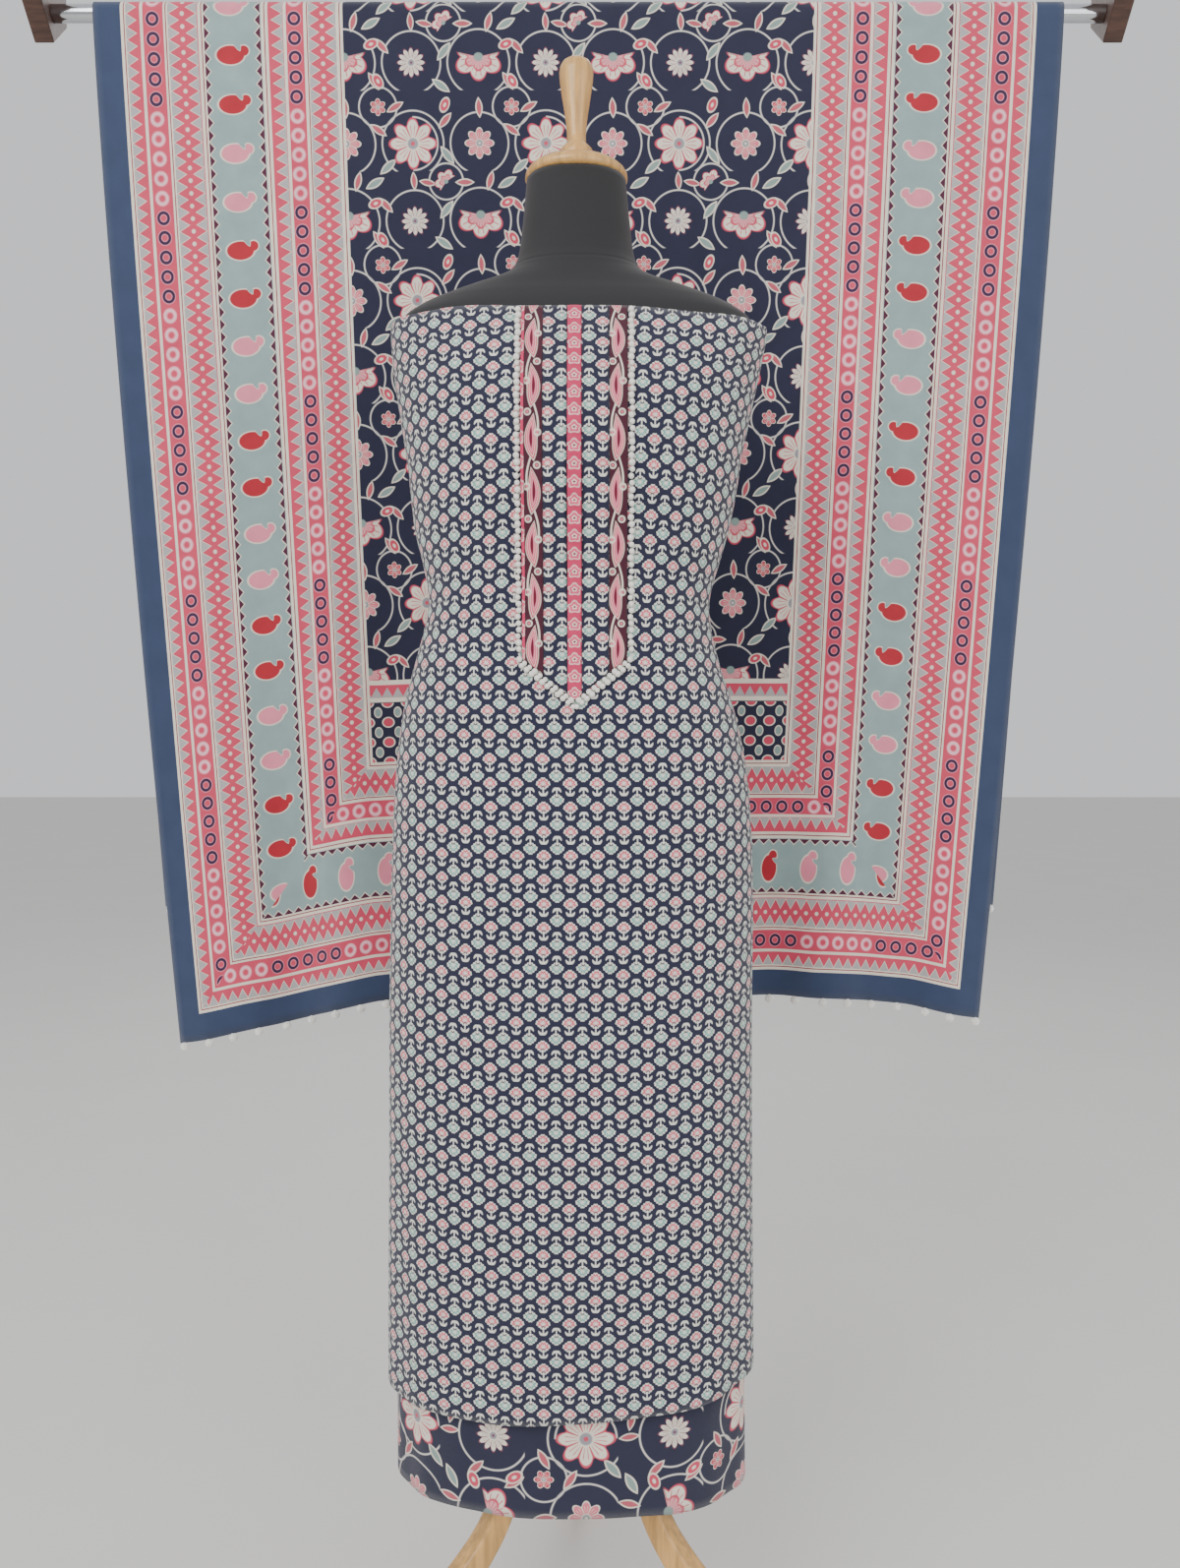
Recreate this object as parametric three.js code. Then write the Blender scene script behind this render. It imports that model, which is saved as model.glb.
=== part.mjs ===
// Salwar kameez suit of uncut cloth, shown on a dress form with its dupatta on a rod behind it.
// Millimetres, +Z up. The front of the suit faces -Y and the form's pole stands on the Z axis
// until the finished group is moved so that the middle of its outline lies over the origin.

import * as THREE from 'three';

// ---------------------------------------------------------------- driving dimensions

const CLOTH = 1.2;                 // wall of every cloth
const SEAM_GAP = 0.3;              // clear gap between pieces that touch
const SECTION_POWER = 2.4;         // squareness of the body's cross-section, 2 is an ellipse

const KAMEEZ_TOP = 1341;
const KAMEEZ_STEPS = 40;           // wall facets in one turn round the body
const KAMEEZ_LAP_STEPS = 3;        // facets of overlap at the centre back
const LAP_CLEARANCE = 2.0;         // air between the two layers of a lap

const SALWAR_TOP = 780;
const SALWAR_INSET = 6;            // salwar's outside, measured in from the kameez's outside
const SALWAR_STEPS = 36;

const FORM_INSET_CHEST = 5;        // form's outside, in from the kameez's outside
const FORM_INSET_HIP = 12;
const FORM_BOTTOM = 720;
const FORM_FACETS = 40;

const YOKE_THICKNESS = 1.0;
const TRIM_THICKNESS = 2.4;

const ROD_Y = 215;
const ROD_Z = 1761;
const ROD_RADIUS = 9.5;
const ROD_HALF_LENGTH = 590;
const DUPATTA_LAYER_GAP = 1.2;     // air between the rod and the cloth that crosses it

const LEG_THICKNESS = 22;
const HUB_RADIUS = 30;
const HUB_BOTTOM = 262;
const HUB_TOP = 350;
const POLE_RADIUS = 14;

// ---------------------------------------------------------------- tables

// The kameez's outside, from the top edge down to the hem.
const BODY_ROWS = [
  { height: 1360, half: 177.0, centre: 2.0, front: 78, back: 84 },
  { height: 1340, half: 180.0, centre: 2.5, front: 86, back: 90 },
  { height: 1305, half: 176.0, centre: 0.5, front: 100, back: 95 },
  { height: 1265, half: 169.0, centre: -1.0, front: 111, back: 97 },
  { height: 1225, half: 162.0, centre: -2.0, front: 115, back: 96 },
  { height: 1185, half: 156.5, centre: -3.0, front: 112, back: 92 },
  { height: 1150, half: 151.0, centre: -4.5, front: 105, back: 86 },
  { height: 1115, half: 142.0, centre: -5.5, front: 99, back: 81 },
  { height: 1085, half: 136.0, centre: -7.0, front: 96, back: 78 },
  { height: 1055, half: 140.0, centre: -8.5, front: 96, back: 80 },
  { height: 1020, half: 149.5, centre: -9.0, front: 98, back: 87 },
  { height: 980, half: 161.0, centre: -7.5, front: 101, back: 97 },
  { height: 935, half: 169.5, centre: -5.5, front: 104, back: 106 },
  { height: 885, half: 174.5, centre: -4.5, front: 106, back: 112 },
  { height: 800, half: 178.0, centre: -4.5, front: 107, back: 114 },
  { height: 680, half: 179.5, centre: -6.0, front: 106, back: 113 },
  { height: 520, half: 181.5, centre: -6.0, front: 105, back: 110 },
  { height: 400, half: 183.5, centre: -6.0, front: 104, back: 108 },
  { height: 200, half: 186.0, centre: -5.5, front: 103, back: 106 },
];

// Heights at which the kameez's wall has a ring, between its top edge and its hem.
const KAMEEZ_RINGS = BODY_ROWS.filter((row) => row.height < KAMEEZ_TOP - 10 && row.height > 350)
  .map((row) => row.height);

// Soft vertical flutes that run down to a hem. The angle is measured round from the front,
// positive towards +X, and the depth is inwards at the hem.
const KAMEEZ_FLUTES = [
  { angle: -62, halfWidth: 15, depth: 3.0, start: 800 },
  { angle: 58, halfWidth: 14, depth: 2.5, start: 760 },
  { angle: 96, halfWidth: 17, depth: 3.0, start: 700 },
  { angle: -104, halfWidth: 18, depth: 3.0, start: 740 },
  { angle: 141, halfWidth: 16, depth: 3.5, start: 820 },
  { angle: -146, halfWidth: 15, depth: 3.0, start: 780 },
];

// The dress form above the cloth: shoulders and neck.
const SHOULDER_ROWS = [
  { height: 1349, half: 167.0, front: 77, back: 82 },
  { height: 1361, half: 151.0, front: 71, back: 78 },
  { height: 1369, half: 132.0, front: 66, back: 74 },
  { height: 1377, half: 108.0, front: 62, back: 69 },
  { height: 1384, half: 84.0, front: 59, back: 65 },
  { height: 1392, half: 67.0, front: 56, back: 60 },
  { height: 1406, half: 57.0, front: 52, back: 54 },
  { height: 1440, half: 51.5, front: 48, back: 50 },
  { height: 1481, half: 47.5, front: 45, back: 45 },
];

// Each dupatta fall, from its left selvedge to its right one. The edges draw in towards the
// hem, and the drop is measured from the top of the rod.
const FALLS = {
  front: {
    columns: 34,
    side: -1,
    topHalf: 542,
    narrowing: 62,
    lean: 30,
    drops: [
      { x: -542, drop: 1181 },
      { x: -420, drop: 1160 },
      { x: -270, drop: 1128 },
      { x: -120, drop: 1120 },
      { x: 160, drop: 1124 },
      { x: 330, drop: 1124 },
      { x: 440, drop: 1134 },
      { x: 542, drop: 1150 },
    ],
  },
  back: {
    columns: 26,
    side: 1,
    topHalf: 541,
    narrowing: 46,
    lean: 14,
    drops: [
      { x: -541, drop: 1016 },
      { x: -200, drop: 1030 },
      { x: 240, drop: 1024 },
      { x: 541, drop: 1014 },
    ],
  },
};

// Soft folds of the two falls. Depth is towards the viewer at the hem.
const FALL_FOLDS = [
  { x: -470, halfWidth: 55, depth: 7 },
  { x: -385, halfWidth: 42, depth: -8 },
  { x: -300, halfWidth: 46, depth: 11 },
  { x: -215, halfWidth: 40, depth: -8 },
  { x: -90, halfWidth: 60, depth: 6 },
  { x: 40, halfWidth: 56, depth: -6 },
  { x: 150, halfWidth: 50, depth: 7 },
  { x: 255, halfWidth: 45, depth: -8 },
  { x: 335, halfWidth: 42, depth: 10 },
  { x: 420, halfWidth: 44, depth: -8 },
  { x: 495, halfWidth: 40, depth: 6 },
];

// Strips of the front yoke, from the left bead line to the right one. The bottom ends are cut
// along the V, given as the height of the strip's two lower corners.
const YOKE_STRIPS = [
  { name: 'yoke_piping_left', left: -47.8, right: -45.2, material: 'pinkPrint', raise: 0.8 },
  { name: 'yoke_paisley_left', left: -44.9, right: -28.9, material: 'maroonPrint', raise: 0 },
  { name: 'yoke_panel_left', left: -28.6, right: -7.4, material: 'navyPrint', raise: 0 },
  { name: 'yoke_placket', left: -7.1, right: 5.4, material: 'pinkPrint', raise: 1.2 },
  { name: 'yoke_panel_right', left: 5.7, right: 29.9, material: 'navyPrint', raise: 0 },
  { name: 'yoke_paisley_right', left: 30.2, right: 46.2, material: 'maroonPrint', raise: 0 },
];
const YOKE_LEFT = -48.5;
const YOKE_RIGHT = 47.0;
const YOKE_CORNER_HEIGHT = 1027;
const YOKE_TIP_HEIGHT = 989;
const YOKE_TIP_X = -0.5;
const BEAD_TRIM_WIDTH = 5;

// A leg's outline in its own upright plane: distance out from the pole and height.
const LEG_UPPER_EDGE = [
  { out: 30.3, height: 330 },
  { out: 66, height: 284 },
  { out: 84, height: 228 },
  { out: 105, height: 184 },
  { out: 129, height: 156 },
  { out: 158, height: 131 },
  { out: 202, height: 94 },
  { out: 243, height: 48 },
  { out: 268, height: 0 },
];
const LEG_LOWER_EDGE = [
  { out: 234, height: 0 },
  { out: 207, height: 42 },
  { out: 166, height: 84 },
  { out: 126, height: 119 },
  { out: 99, height: 150 },
  { out: 79.7, height: 181 },
  { out: 60, height: 232 },
  { out: 30.3, height: 268 },
];
const LEGS = [
  { name: 'leg_left', azimuth: -150 },
  { name: 'leg_right', azimuth: -30 },
  { name: 'leg_back', azimuth: 90 },
];

// ---------------------------------------------------------------- materials

const material = (color, roughness, metalness = 0) =>
  new THREE.MeshStandardMaterial({ color, roughness, metalness });
const MATERIALS = {
  navyPrint: material(0x33344d, 0.9),
  pinkPrint: material(0xd9587a, 0.9),
  maroonPrint: material(0x8c2f45, 0.9),
  jaalPrint: material(0x4a3f5c, 0.9),
  beads: material(0xece9e0, 0.4),
  pompom: material(0xf0efea, 0.95),
  jersey: material(0x2e2e30, 0.85),
  maple: material(0xd3a35f, 0.45),
  darkWood: material(0x4a3329, 0.5),
  chrome: material(0xc9ccd0, 0.15, 1.0),
  steel: material(0x8d9094, 0.35, 1.0),
};

// ---------------------------------------------------------------- small helpers

const group = new THREE.Group();
const addPiece = (name, geometry, materialName) => {
  const mesh = new THREE.Mesh(geometry, MATERIALS[materialName]);
  mesh.name = name;
  group.add(mesh);
  return mesh;
};

const lerp = (a, b, t) => a + (b - a) * t;
const degrees = (angle) => (angle * Math.PI) / 180;

// A smooth bump that is 1 at the middle and 0 at halfWidth from it.
const bump = (distance, halfWidth) => {
  if (Math.abs(distance) >= halfWidth) return 0;
  return 0.5 + 0.5 * Math.cos((Math.PI * distance) / halfWidth);
};

// Reads one column of a table that is sorted along another column.
const readTable = (rows, along, value, column) => {
  const rising = rows[rows.length - 1][along] > rows[0][along];
  const sorted = rising ? rows : [...rows].reverse();
  if (value <= sorted[0][along]) return sorted[0][column];
  for (let i = 1; i < sorted.length; i += 1) {
    if (value <= sorted[i][along]) {
      const t = (value - sorted[i - 1][along]) / (sorted[i][along] - sorted[i - 1][along]);
      return lerp(sorted[i - 1][column], sorted[i][column], t);
    }
  }
  return sorted[sorted.length - 1][column];
};

// Closes two facing grids of points, [row][column], into one wall with its four edges.
// Seen from outside, rows run downwards and columns run from left to right.
const wallFromGrids = (outer, inner, closed = false) => {
  const rows = outer.length;
  const columns = outer[0].length;
  const positions = [];
  [outer, inner].forEach((grid) => grid.forEach((row) => row.forEach((p) => positions.push(...p))));
  const at = (side, i, j) => side * rows * columns + i * columns + (j % columns);
  const index = [];
  const quad = (a, b, c, d) => index.push(a, b, c, a, c, d);
  const lastColumn = closed ? columns : columns - 1;
  for (let i = 0; i < rows - 1; i += 1) {
    for (let j = 0; j < lastColumn; j += 1) {
      quad(at(0, i, j), at(0, i + 1, j), at(0, i + 1, j + 1), at(0, i, j + 1));
      quad(at(1, i, j), at(1, i, j + 1), at(1, i + 1, j + 1), at(1, i + 1, j));
    }
  }
  for (let j = 0; j < lastColumn; j += 1) {
    quad(at(0, 0, j), at(0, 0, j + 1), at(1, 0, j + 1), at(1, 0, j));
    quad(at(0, rows - 1, j), at(1, rows - 1, j), at(1, rows - 1, j + 1), at(0, rows - 1, j + 1));
  }
  if (!closed) {
    for (let i = 0; i < rows - 1; i += 1) {
      quad(at(0, i, 0), at(1, i, 0), at(1, i + 1, 0), at(0, i + 1, 0));
      const j = columns - 1;
      quad(at(0, i, j), at(0, i + 1, j), at(1, i + 1, j), at(1, i, j));
    }
  }
  const geometry = new THREE.BufferGeometry();
  geometry.setAttribute('position', new THREE.Float32BufferAttribute(positions, 3));
  geometry.setIndex(index);
  return geometry;
};

// A closed stack of rings, with a flat cap at each end. Rings run downwards.
const stackFromRings = (rings) => {
  const columns = rings[0].length;
  const positions = rings.flat(2);
  const index = [];
  for (let i = 0; i < rings.length - 1; i += 1) {
    for (let j = 0; j < columns; j += 1) {
      const a = i * columns + j;
      const b = i * columns + ((j + 1) % columns);
      index.push(a, a + columns, b + columns, a, b + columns, b);
    }
  }
  const bottom = (rings.length - 1) * columns;
  for (let j = 1; j < columns - 1; j += 1) {
    index.push(0, j, j + 1);
    index.push(bottom, bottom + j + 1, bottom + j);
  }
  const geometry = new THREE.BufferGeometry();
  geometry.setAttribute('position', new THREE.Float32BufferAttribute(positions, 3));
  geometry.setIndex(index);
  return geometry;
};

// ---------------------------------------------------------------- the body's cross-section

// A point of the section at this angle, moved in along the section's own normal.
const sectionPoint = (size, angle, inset) => {
  const sine = Math.sin(degrees(angle));
  const cosine = Math.cos(degrees(angle));
  const depth = cosine > 0 ? size.front : size.back;
  const curve = (value) => Math.sign(value) * Math.abs(value) ** (2 / SECTION_POWER);
  const x = size.half * curve(sine);
  const y = -depth * curve(cosine);
  const normalX = Math.sign(x) * (Math.abs(x / size.half) ** (SECTION_POWER - 1)) / size.half;
  const normalY = Math.sign(y) * (Math.abs(y / depth) ** (SECTION_POWER - 1)) / depth;
  const length = Math.hypot(normalX, normalY);
  return [size.centre + x - (inset * normalX) / length, y - (inset * normalY) / length];
};

const bodySize = (height) => ({
  half: readTable(BODY_ROWS, 'height', height, 'half'),
  centre: readTable(BODY_ROWS, 'height', height, 'centre'),
  front: readTable(BODY_ROWS, 'height', height, 'front'),
  back: readTable(BODY_ROWS, 'height', height, 'back'),
});

const fluteInset = (angle, height) => {
  let inset = 0;
  KAMEEZ_FLUTES.forEach((flute) => {
    const growth = Math.min(1, Math.max(0, (flute.start - height) / (flute.start - 320)));
    const wrapped = ((angle - flute.angle + 540) % 360) - 180;
    inset += flute.depth * growth * bump(wrapped, flute.halfWidth);
  });
  return inset;
};

// A point of the kameez's outside. Between two rings the wall is straight, so whatever lies on
// it is worked out from the same rings.
const kameezRingPoint = (angle, height, inset) => {
  const [x, y] = sectionPoint(bodySize(height), angle, inset + fluteInset(angle, height));
  return [x, y, height];
};

// ---------------------------------------------------------------- kameez cloth

// The hem hangs a little lower left of the middle and rises to the right.
const kameezHem = (angle) => 320 + 8 * Math.sin(degrees(angle - 12)) - 3 * Math.cos(degrees(2 * angle));
const kameezTop = (angle) => KAMEEZ_TOP - 2.5 * Math.cos(degrees(angle * 2 - 70));

const kameezRows = (angle) => [kameezTop(angle), ...KAMEEZ_RINGS, kameezHem(angle)];

const buildKameez = () => {
  const step = 360 / KAMEEZ_STEPS;
  const columns = KAMEEZ_STEPS + KAMEEZ_LAP_STEPS + 1;
  const first = -180 - (KAMEEZ_LAP_STEPS * step) / 2;
  const rampSteps = 4;
  const outer = [];
  const inner = [];
  const rowCount = KAMEEZ_RINGS.length + 2;
  for (let i = 0; i < rowCount; i += 1) {
    outer.push([]);
    inner.push([]);
    for (let j = 0; j < columns; j += 1) {
      const angle = first + j * step;
      const height = kameezRows(angle)[i];
      const ramp = Math.min(1, Math.max(0, (j - (KAMEEZ_STEPS - rampSteps)) / rampSteps));
      const lift = ramp * (CLOTH + LAP_CLEARANCE);
      outer[i].push(kameezRingPoint(angle, height, -lift));
      inner[i].push(kameezRingPoint(angle, height, CLOTH - lift));
    }
  }
  addPiece('kameez_cloth', wallFromGrids(outer, inner), 'navyPrint');
};

// ---------------------------------------------------------------- yoke on the kameez's front

// The angle at which the section reaches this x, on the front.
const angleAtX = (x, height) => {
  const size = bodySize(height);
  const ratio = Math.min(1, Math.abs(x - size.centre) / size.half);
  const angle = Math.asin(ratio ** (SECTION_POWER / 2));
  return (Math.sign(x - size.centre) * angle * 180) / Math.PI;
};

const vHeight = (x) => {
  const edge = x < YOKE_TIP_X ? YOKE_LEFT : YOKE_RIGHT;
  return lerp(YOKE_TIP_HEIGHT, YOKE_CORNER_HEIGHT, Math.abs((x - YOKE_TIP_X) / (edge - YOKE_TIP_X)));
};

// A point raised off the kameez, on the straight wall between the two rings about this height.
const onKameez = (x, height, raise) => {
  const rings = [1360, ...KAMEEZ_RINGS, 200];
  const below = rings.findIndex((ring) => ring <= height);
  const upper = rings[Math.max(0, below - 1)];
  const lower = rings[below];
  const t = upper === lower ? 0 : (upper - height) / (upper - lower);
  const a = kameezRingPoint(angleAtX(x, upper), upper, -raise);
  const b = kameezRingPoint(angleAtX(x, lower), lower, -raise);
  return [lerp(a[0], b[0], t), lerp(a[1], b[1], t), height];
};

// A strip between two x lines. The heights of its two lower corners follow the V.
const yokeStrip = (left, right, base, thickness, bottomAt) => {
  const xs = right - left > 8 ? [left, (left + right) / 2, right] : [left, right];
  const lowest = Math.max(...xs.map(bottomAt));
  const rings = KAMEEZ_RINGS.filter((height) => height > lowest + 3);
  const rowsAt = (x) => [kameezTop(0) - 0.5, ...rings, bottomAt(x)];
  const grid = (raise) => rowsAt(left).map((_, i) => xs.map((x) => onKameez(x, rowsAt(x)[i], raise)));
  return wallFromGrids(grid(base + thickness), grid(base));
};

const buildYoke = () => {
  YOKE_STRIPS.forEach((strip) => {
    const thickness = YOKE_THICKNESS + strip.raise;
    const geometry = yokeStrip(strip.left, strip.right, SEAM_GAP, thickness, vHeight);
    addPiece(strip.name, geometry, strip.material);
  });
};

const buildBeadTrims = () => {
  const lines = [
    { name: 'bead_trim_left', left: YOKE_LEFT - BEAD_TRIM_WIDTH, right: YOKE_LEFT - SEAM_GAP },
    { name: 'bead_trim_right', left: YOKE_RIGHT + SEAM_GAP, right: YOKE_RIGHT + BEAD_TRIM_WIDTH },
  ];
  lines.forEach((line) => {
    const bottomAt = () => YOKE_CORNER_HEIGHT + 3;
    const geometry = yokeStrip(line.left, line.right, SEAM_GAP, TRIM_THICKNESS, bottomAt);
    addPiece(line.name, geometry, 'beads');
  });
  const arms = [
    { name: 'bead_trim_v_left', from: YOKE_LEFT - 3, to: YOKE_TIP_X - SEAM_GAP },
    { name: 'bead_trim_v_right', from: YOKE_TIP_X + SEAM_GAP, to: YOKE_RIGHT + 3 },
  ];
  arms.forEach((arm) => {
    const xs = [0, 0.25, 0.5, 0.75, 1].map((t) => lerp(arm.from, arm.to, t));
    const heights = [-1.5, -1.5 - BEAD_TRIM_WIDTH];
    const grid = (raise) => heights.map((drop) => xs.map((x) => onKameez(x, vHeight(x) + drop, raise)));
    const geometry = wallFromGrids(grid(SEAM_GAP + TRIM_THICKNESS), grid(SEAM_GAP));
    addPiece(arm.name, geometry, 'beads');
  });
};

// ---------------------------------------------------------------- salwar cloth

const SALWAR_RINGS = [SALWAR_TOP, 680, 600, 520, 400, 320, 260];
const salwarHem = (angle) => 217 + 4 * Math.sin(degrees(-angle)) * Math.max(0, Math.cos(degrees(angle / 2)));

const buildSalwar = () => {
  const step = 360 / SALWAR_STEPS;
  const columns = SALWAR_STEPS + KAMEEZ_LAP_STEPS + 1;
  const first = -180 - (KAMEEZ_LAP_STEPS * step) / 2;
  const rampSteps = 4;
  const outer = [];
  const inner = [];
  for (let i = 0; i <= SALWAR_RINGS.length; i += 1) {
    outer.push([]);
    inner.push([]);
    for (let j = 0; j < columns; j += 1) {
      const angle = first + j * step;
      const height = i < SALWAR_RINGS.length ? SALWAR_RINGS[i] : salwarHem(angle);
      const ramp = Math.min(1, Math.max(0, (j - (SALWAR_STEPS - rampSteps)) / rampSteps));
      const tuck = (1 - ramp) * (CLOTH + LAP_CLEARANCE);
      const inset = SALWAR_INSET + tuck;
      outer[i].push(kameezRingPoint(angle, height, inset));
      inner[i].push(kameezRingPoint(angle, height, inset + CLOTH));
    }
  }
  addPiece('salwar_cloth', wallFromGrids(outer, inner), 'jaalPrint');
};

// ---------------------------------------------------------------- dress form

const buildForm = () => {
  const angles = Array.from({ length: FORM_FACETS }, (_, j) => (j * 360) / FORM_FACETS);
  const ring = (size, inset) => angles.map((angle) => [...sectionPoint(size, angle, inset), size.height]);
  const neck = [...SHOULDER_ROWS].reverse().map((row) => ring({ ...row, centre: 0 }, 0));
  const clothed = BODY_ROWS.filter((row) => row.height < 1340 && row.height > FORM_BOTTOM)
    .map((row) => ring(row, row.height > 850 ? FORM_INSET_CHEST : FORM_INSET_HIP));
  const bottomRow = { ...bodySize(FORM_BOTTOM), height: FORM_BOTTOM };
  const bottom = ring(bottomRow, FORM_INSET_HIP);
  addPiece('form_torso', stackFromRings([...neck, ...clothed, bottom]), 'jersey');

  const lathe = (name, profile, materialName, facets = 32) => {
    const points = profile.map(([radius, height]) => new THREE.Vector2(radius, height));
    const geometry = new THREE.LatheGeometry(points, facets);
    geometry.rotateX(Math.PI / 2);
    addPiece(name, geometry, materialName);
  };
  const capBottom = 1481 + SEAM_GAP;
  lathe('form_neck_cap', [[0, capBottom], [46, capBottom], [49, capBottom + 4], [47.5, capBottom + 10],
    [38, capBottom + 16], [22, capBottom + 20], [0, capBottom + 20.5]], 'maple');
  const handleBottom = capBottom + 20.5 + SEAM_GAP;
  lathe('form_handle', [[0, handleBottom], [14, handleBottom], [16, handleBottom + 5],
    [15.5, handleBottom + 11], [9, handleBottom + 17], [9, handleBottom + 24], [12, handleBottom + 50],
    [15.5, handleBottom + 72], [16.3, handleBottom + 82], [13.5, handleBottom + 90],
    [6, handleBottom + 94], [0, handleBottom + 95]], 'maple', 24);
  lathe('form_pole', [[0, HUB_TOP + SEAM_GAP], [POLE_RADIUS, HUB_TOP + SEAM_GAP],
    [POLE_RADIUS, FORM_BOTTOM - SEAM_GAP], [0, FORM_BOTTOM - SEAM_GAP]], 'steel', 20);
  lathe('form_hub', [[0, HUB_BOTTOM], [24, HUB_BOTTOM], [HUB_RADIUS, HUB_BOTTOM + 6],
    [HUB_RADIUS, HUB_TOP - 8], [22, HUB_TOP], [0, HUB_TOP]], 'maple', 24);
};

const buildLegs = () => {
  const curve = (rows) => {
    const points = rows.map((row) => new THREE.Vector2(row.out, row.height));
    return new THREE.SplineCurve(points).getPoints(12);
  };
  const outline = [...curve(LEG_UPPER_EDGE), ...curve(LEG_LOWER_EDGE)];
  outline.forEach((point) => point.setY(Math.max(0, point.y)));
  const shape = new THREE.Shape(outline);
  LEGS.forEach((leg) => {
    const geometry = new THREE.ExtrudeGeometry(shape, { depth: LEG_THICKNESS, bevelEnabled: false });
    geometry.translate(0, 0, -LEG_THICKNESS / 2);
    geometry.rotateX(Math.PI / 2);
    geometry.rotateZ(degrees(leg.azimuth));
    addPiece(leg.name, geometry, 'maple');
  });
};

// ---------------------------------------------------------------- rod and its end plates

const PLATE_THICKNESS = 22;
const PLATE_HALF_DEPTH = 36;
const PLATE_TOP = 38;              // above the rod's centre line
const PLATE_BOTTOM = 34;           // below it

const buildRod = () => {
  const rod = new THREE.CylinderGeometry(ROD_RADIUS, ROD_RADIUS, 2 * ROD_HALF_LENGTH, 24);
  rod.rotateZ(Math.PI / 2);
  rod.translate(0, ROD_Y, ROD_Z);
  addPiece('rod', rod, 'chrome');

  const outline = new THREE.Shape();
  outline.moveTo(-PLATE_HALF_DEPTH, PLATE_TOP);
  outline.lineTo(-PLATE_HALF_DEPTH, 4);
  outline.lineTo(-12, -PLATE_BOTTOM);
  outline.lineTo(12, -PLATE_BOTTOM);
  outline.lineTo(PLATE_HALF_DEPTH, 4);
  outline.lineTo(PLATE_HALF_DEPTH, PLATE_TOP);
  outline.closePath();
  [{ name: 'rod_plate_left', side: -1 }, { name: 'rod_plate_right', side: 1 }].forEach((plate) => {
    const geometry = new THREE.ExtrudeGeometry(outline, { depth: PLATE_THICKNESS, bevelEnabled: false });
    geometry.translate(0, 0, -PLATE_THICKNESS / 2);
    geometry.rotateX(Math.PI / 2);
    geometry.rotateZ(Math.PI / 2);
    const x = plate.side * (ROD_HALF_LENGTH + SEAM_GAP + PLATE_THICKNESS / 2);
    geometry.translate(x, ROD_Y, ROD_Z);
    addPiece(plate.name, geometry, 'darkWood');
  });
};

// ---------------------------------------------------------------- dupatta over the rod

const CROWN_RADIUS = ROD_RADIUS + DUPATTA_LAYER_GAP;
const FALL_ROWS = [0, 0.12, 0.28, 0.44, 0.6, 0.74, 0.86, 0.94, 1];

// A point of a fall's middle surface. The share runs from 0 at the rod to 1 at the hem.
const fallPoint = (fall, x, share, offset) => {
  const dropNow = readTable(fall.drops, 'x', x, 'drop') * share;
  const narrowed = x * (1 - (fall.narrowing / fall.topHalf) * share ** 1.3);
  let fold = 0;
  FALL_FOLDS.forEach((row) => {
    fold += row.depth * share ** 1.5 * bump(x - row.x, row.halfWidth * 1.4);
  });
  const outwards = CROWN_RADIUS + CLOTH / 2 + offset;
  const y = ROD_Y + fall.side * outwards + fall.lean * share - fold;
  return [narrowed, y, ROD_Z - SEAM_GAP - dropNow];
};

const fallColumns = (fall) => Array.from(
  { length: fall.columns + 1 },
  (_, j) => lerp(-fall.topHalf, fall.topHalf, j / fall.columns),
);

const buildFall = (name, fall) => {
  const xs = fallColumns(fall);
  if (fall.side > 0) xs.reverse();
  const grid = (offset) => FALL_ROWS.map((share) => xs.map((x) => fallPoint(fall, x, share, offset)));
  addPiece(name, wallFromGrids(grid(CLOTH / 2), grid(-CLOTH / 2)), 'jaalPrint');
};

// The pompom fringe of a hem, as one plain band of its reach.
const FRINGE_HEIGHT = 10;
const FRINGE_HALF_THICKNESS = 4.5;
const buildFringe = (name, fall) => {
  const xs = fallColumns(fall);
  if (fall.side > 0) xs.reverse();
  const lowered = (offset) => [SEAM_GAP, SEAM_GAP + FRINGE_HEIGHT].map((below) => xs.map((x) => {
    const [px, py, pz] = fallPoint(fall, x, 1, offset);
    return [px, py, pz - below];
  }));
  const geometry = wallFromGrids(lowered(FRINGE_HALF_THICKNESS), lowered(-FRINGE_HALF_THICKNESS));
  addPiece(name, geometry, 'pompom');
};

// The stretch that lies over the rod, half a turn round it.
const buildCrown = () => {
  const arcSteps = 10;
  const half = FALLS.back.topHalf;
  const xs = [-half, -half / 2, 0, half / 2, half];
  const grid = (radius) => Array.from({ length: arcSteps + 1 }, (_, i) => {
    const angle = Math.PI - (Math.PI * i) / arcSteps;
    return xs.map((x) => [x, ROD_Y - radius * Math.cos(angle), ROD_Z + radius * Math.sin(angle)]);
  });
  addPiece('dupatta_crown', wallFromGrids(grid(CROWN_RADIUS + CLOTH), grid(CROWN_RADIUS)), 'jaalPrint');
};

// ---------------------------------------------------------------- the whole suit

buildKameez();
buildYoke();
buildBeadTrims();
buildSalwar();
buildForm();
buildLegs();
buildRod();
buildFall('dupatta_front', FALLS.front);
buildFall('dupatta_back', FALLS.back);
buildCrown();
buildFringe('pompom_fringe_front', FALLS.front);
buildFringe('pompom_fringe_back', FALLS.back);

// The origin is under the middle of the whole outline, on the floor.
const outlineBox = new THREE.Box3().setFromObject(group);
const middle = outlineBox.getCenter(new THREE.Vector3());
group.position.set(-middle.x, -middle.y, -outlineBox.min.z);
group.updateMatrixWorld(true);

export default group;
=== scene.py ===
import math
import random

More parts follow.
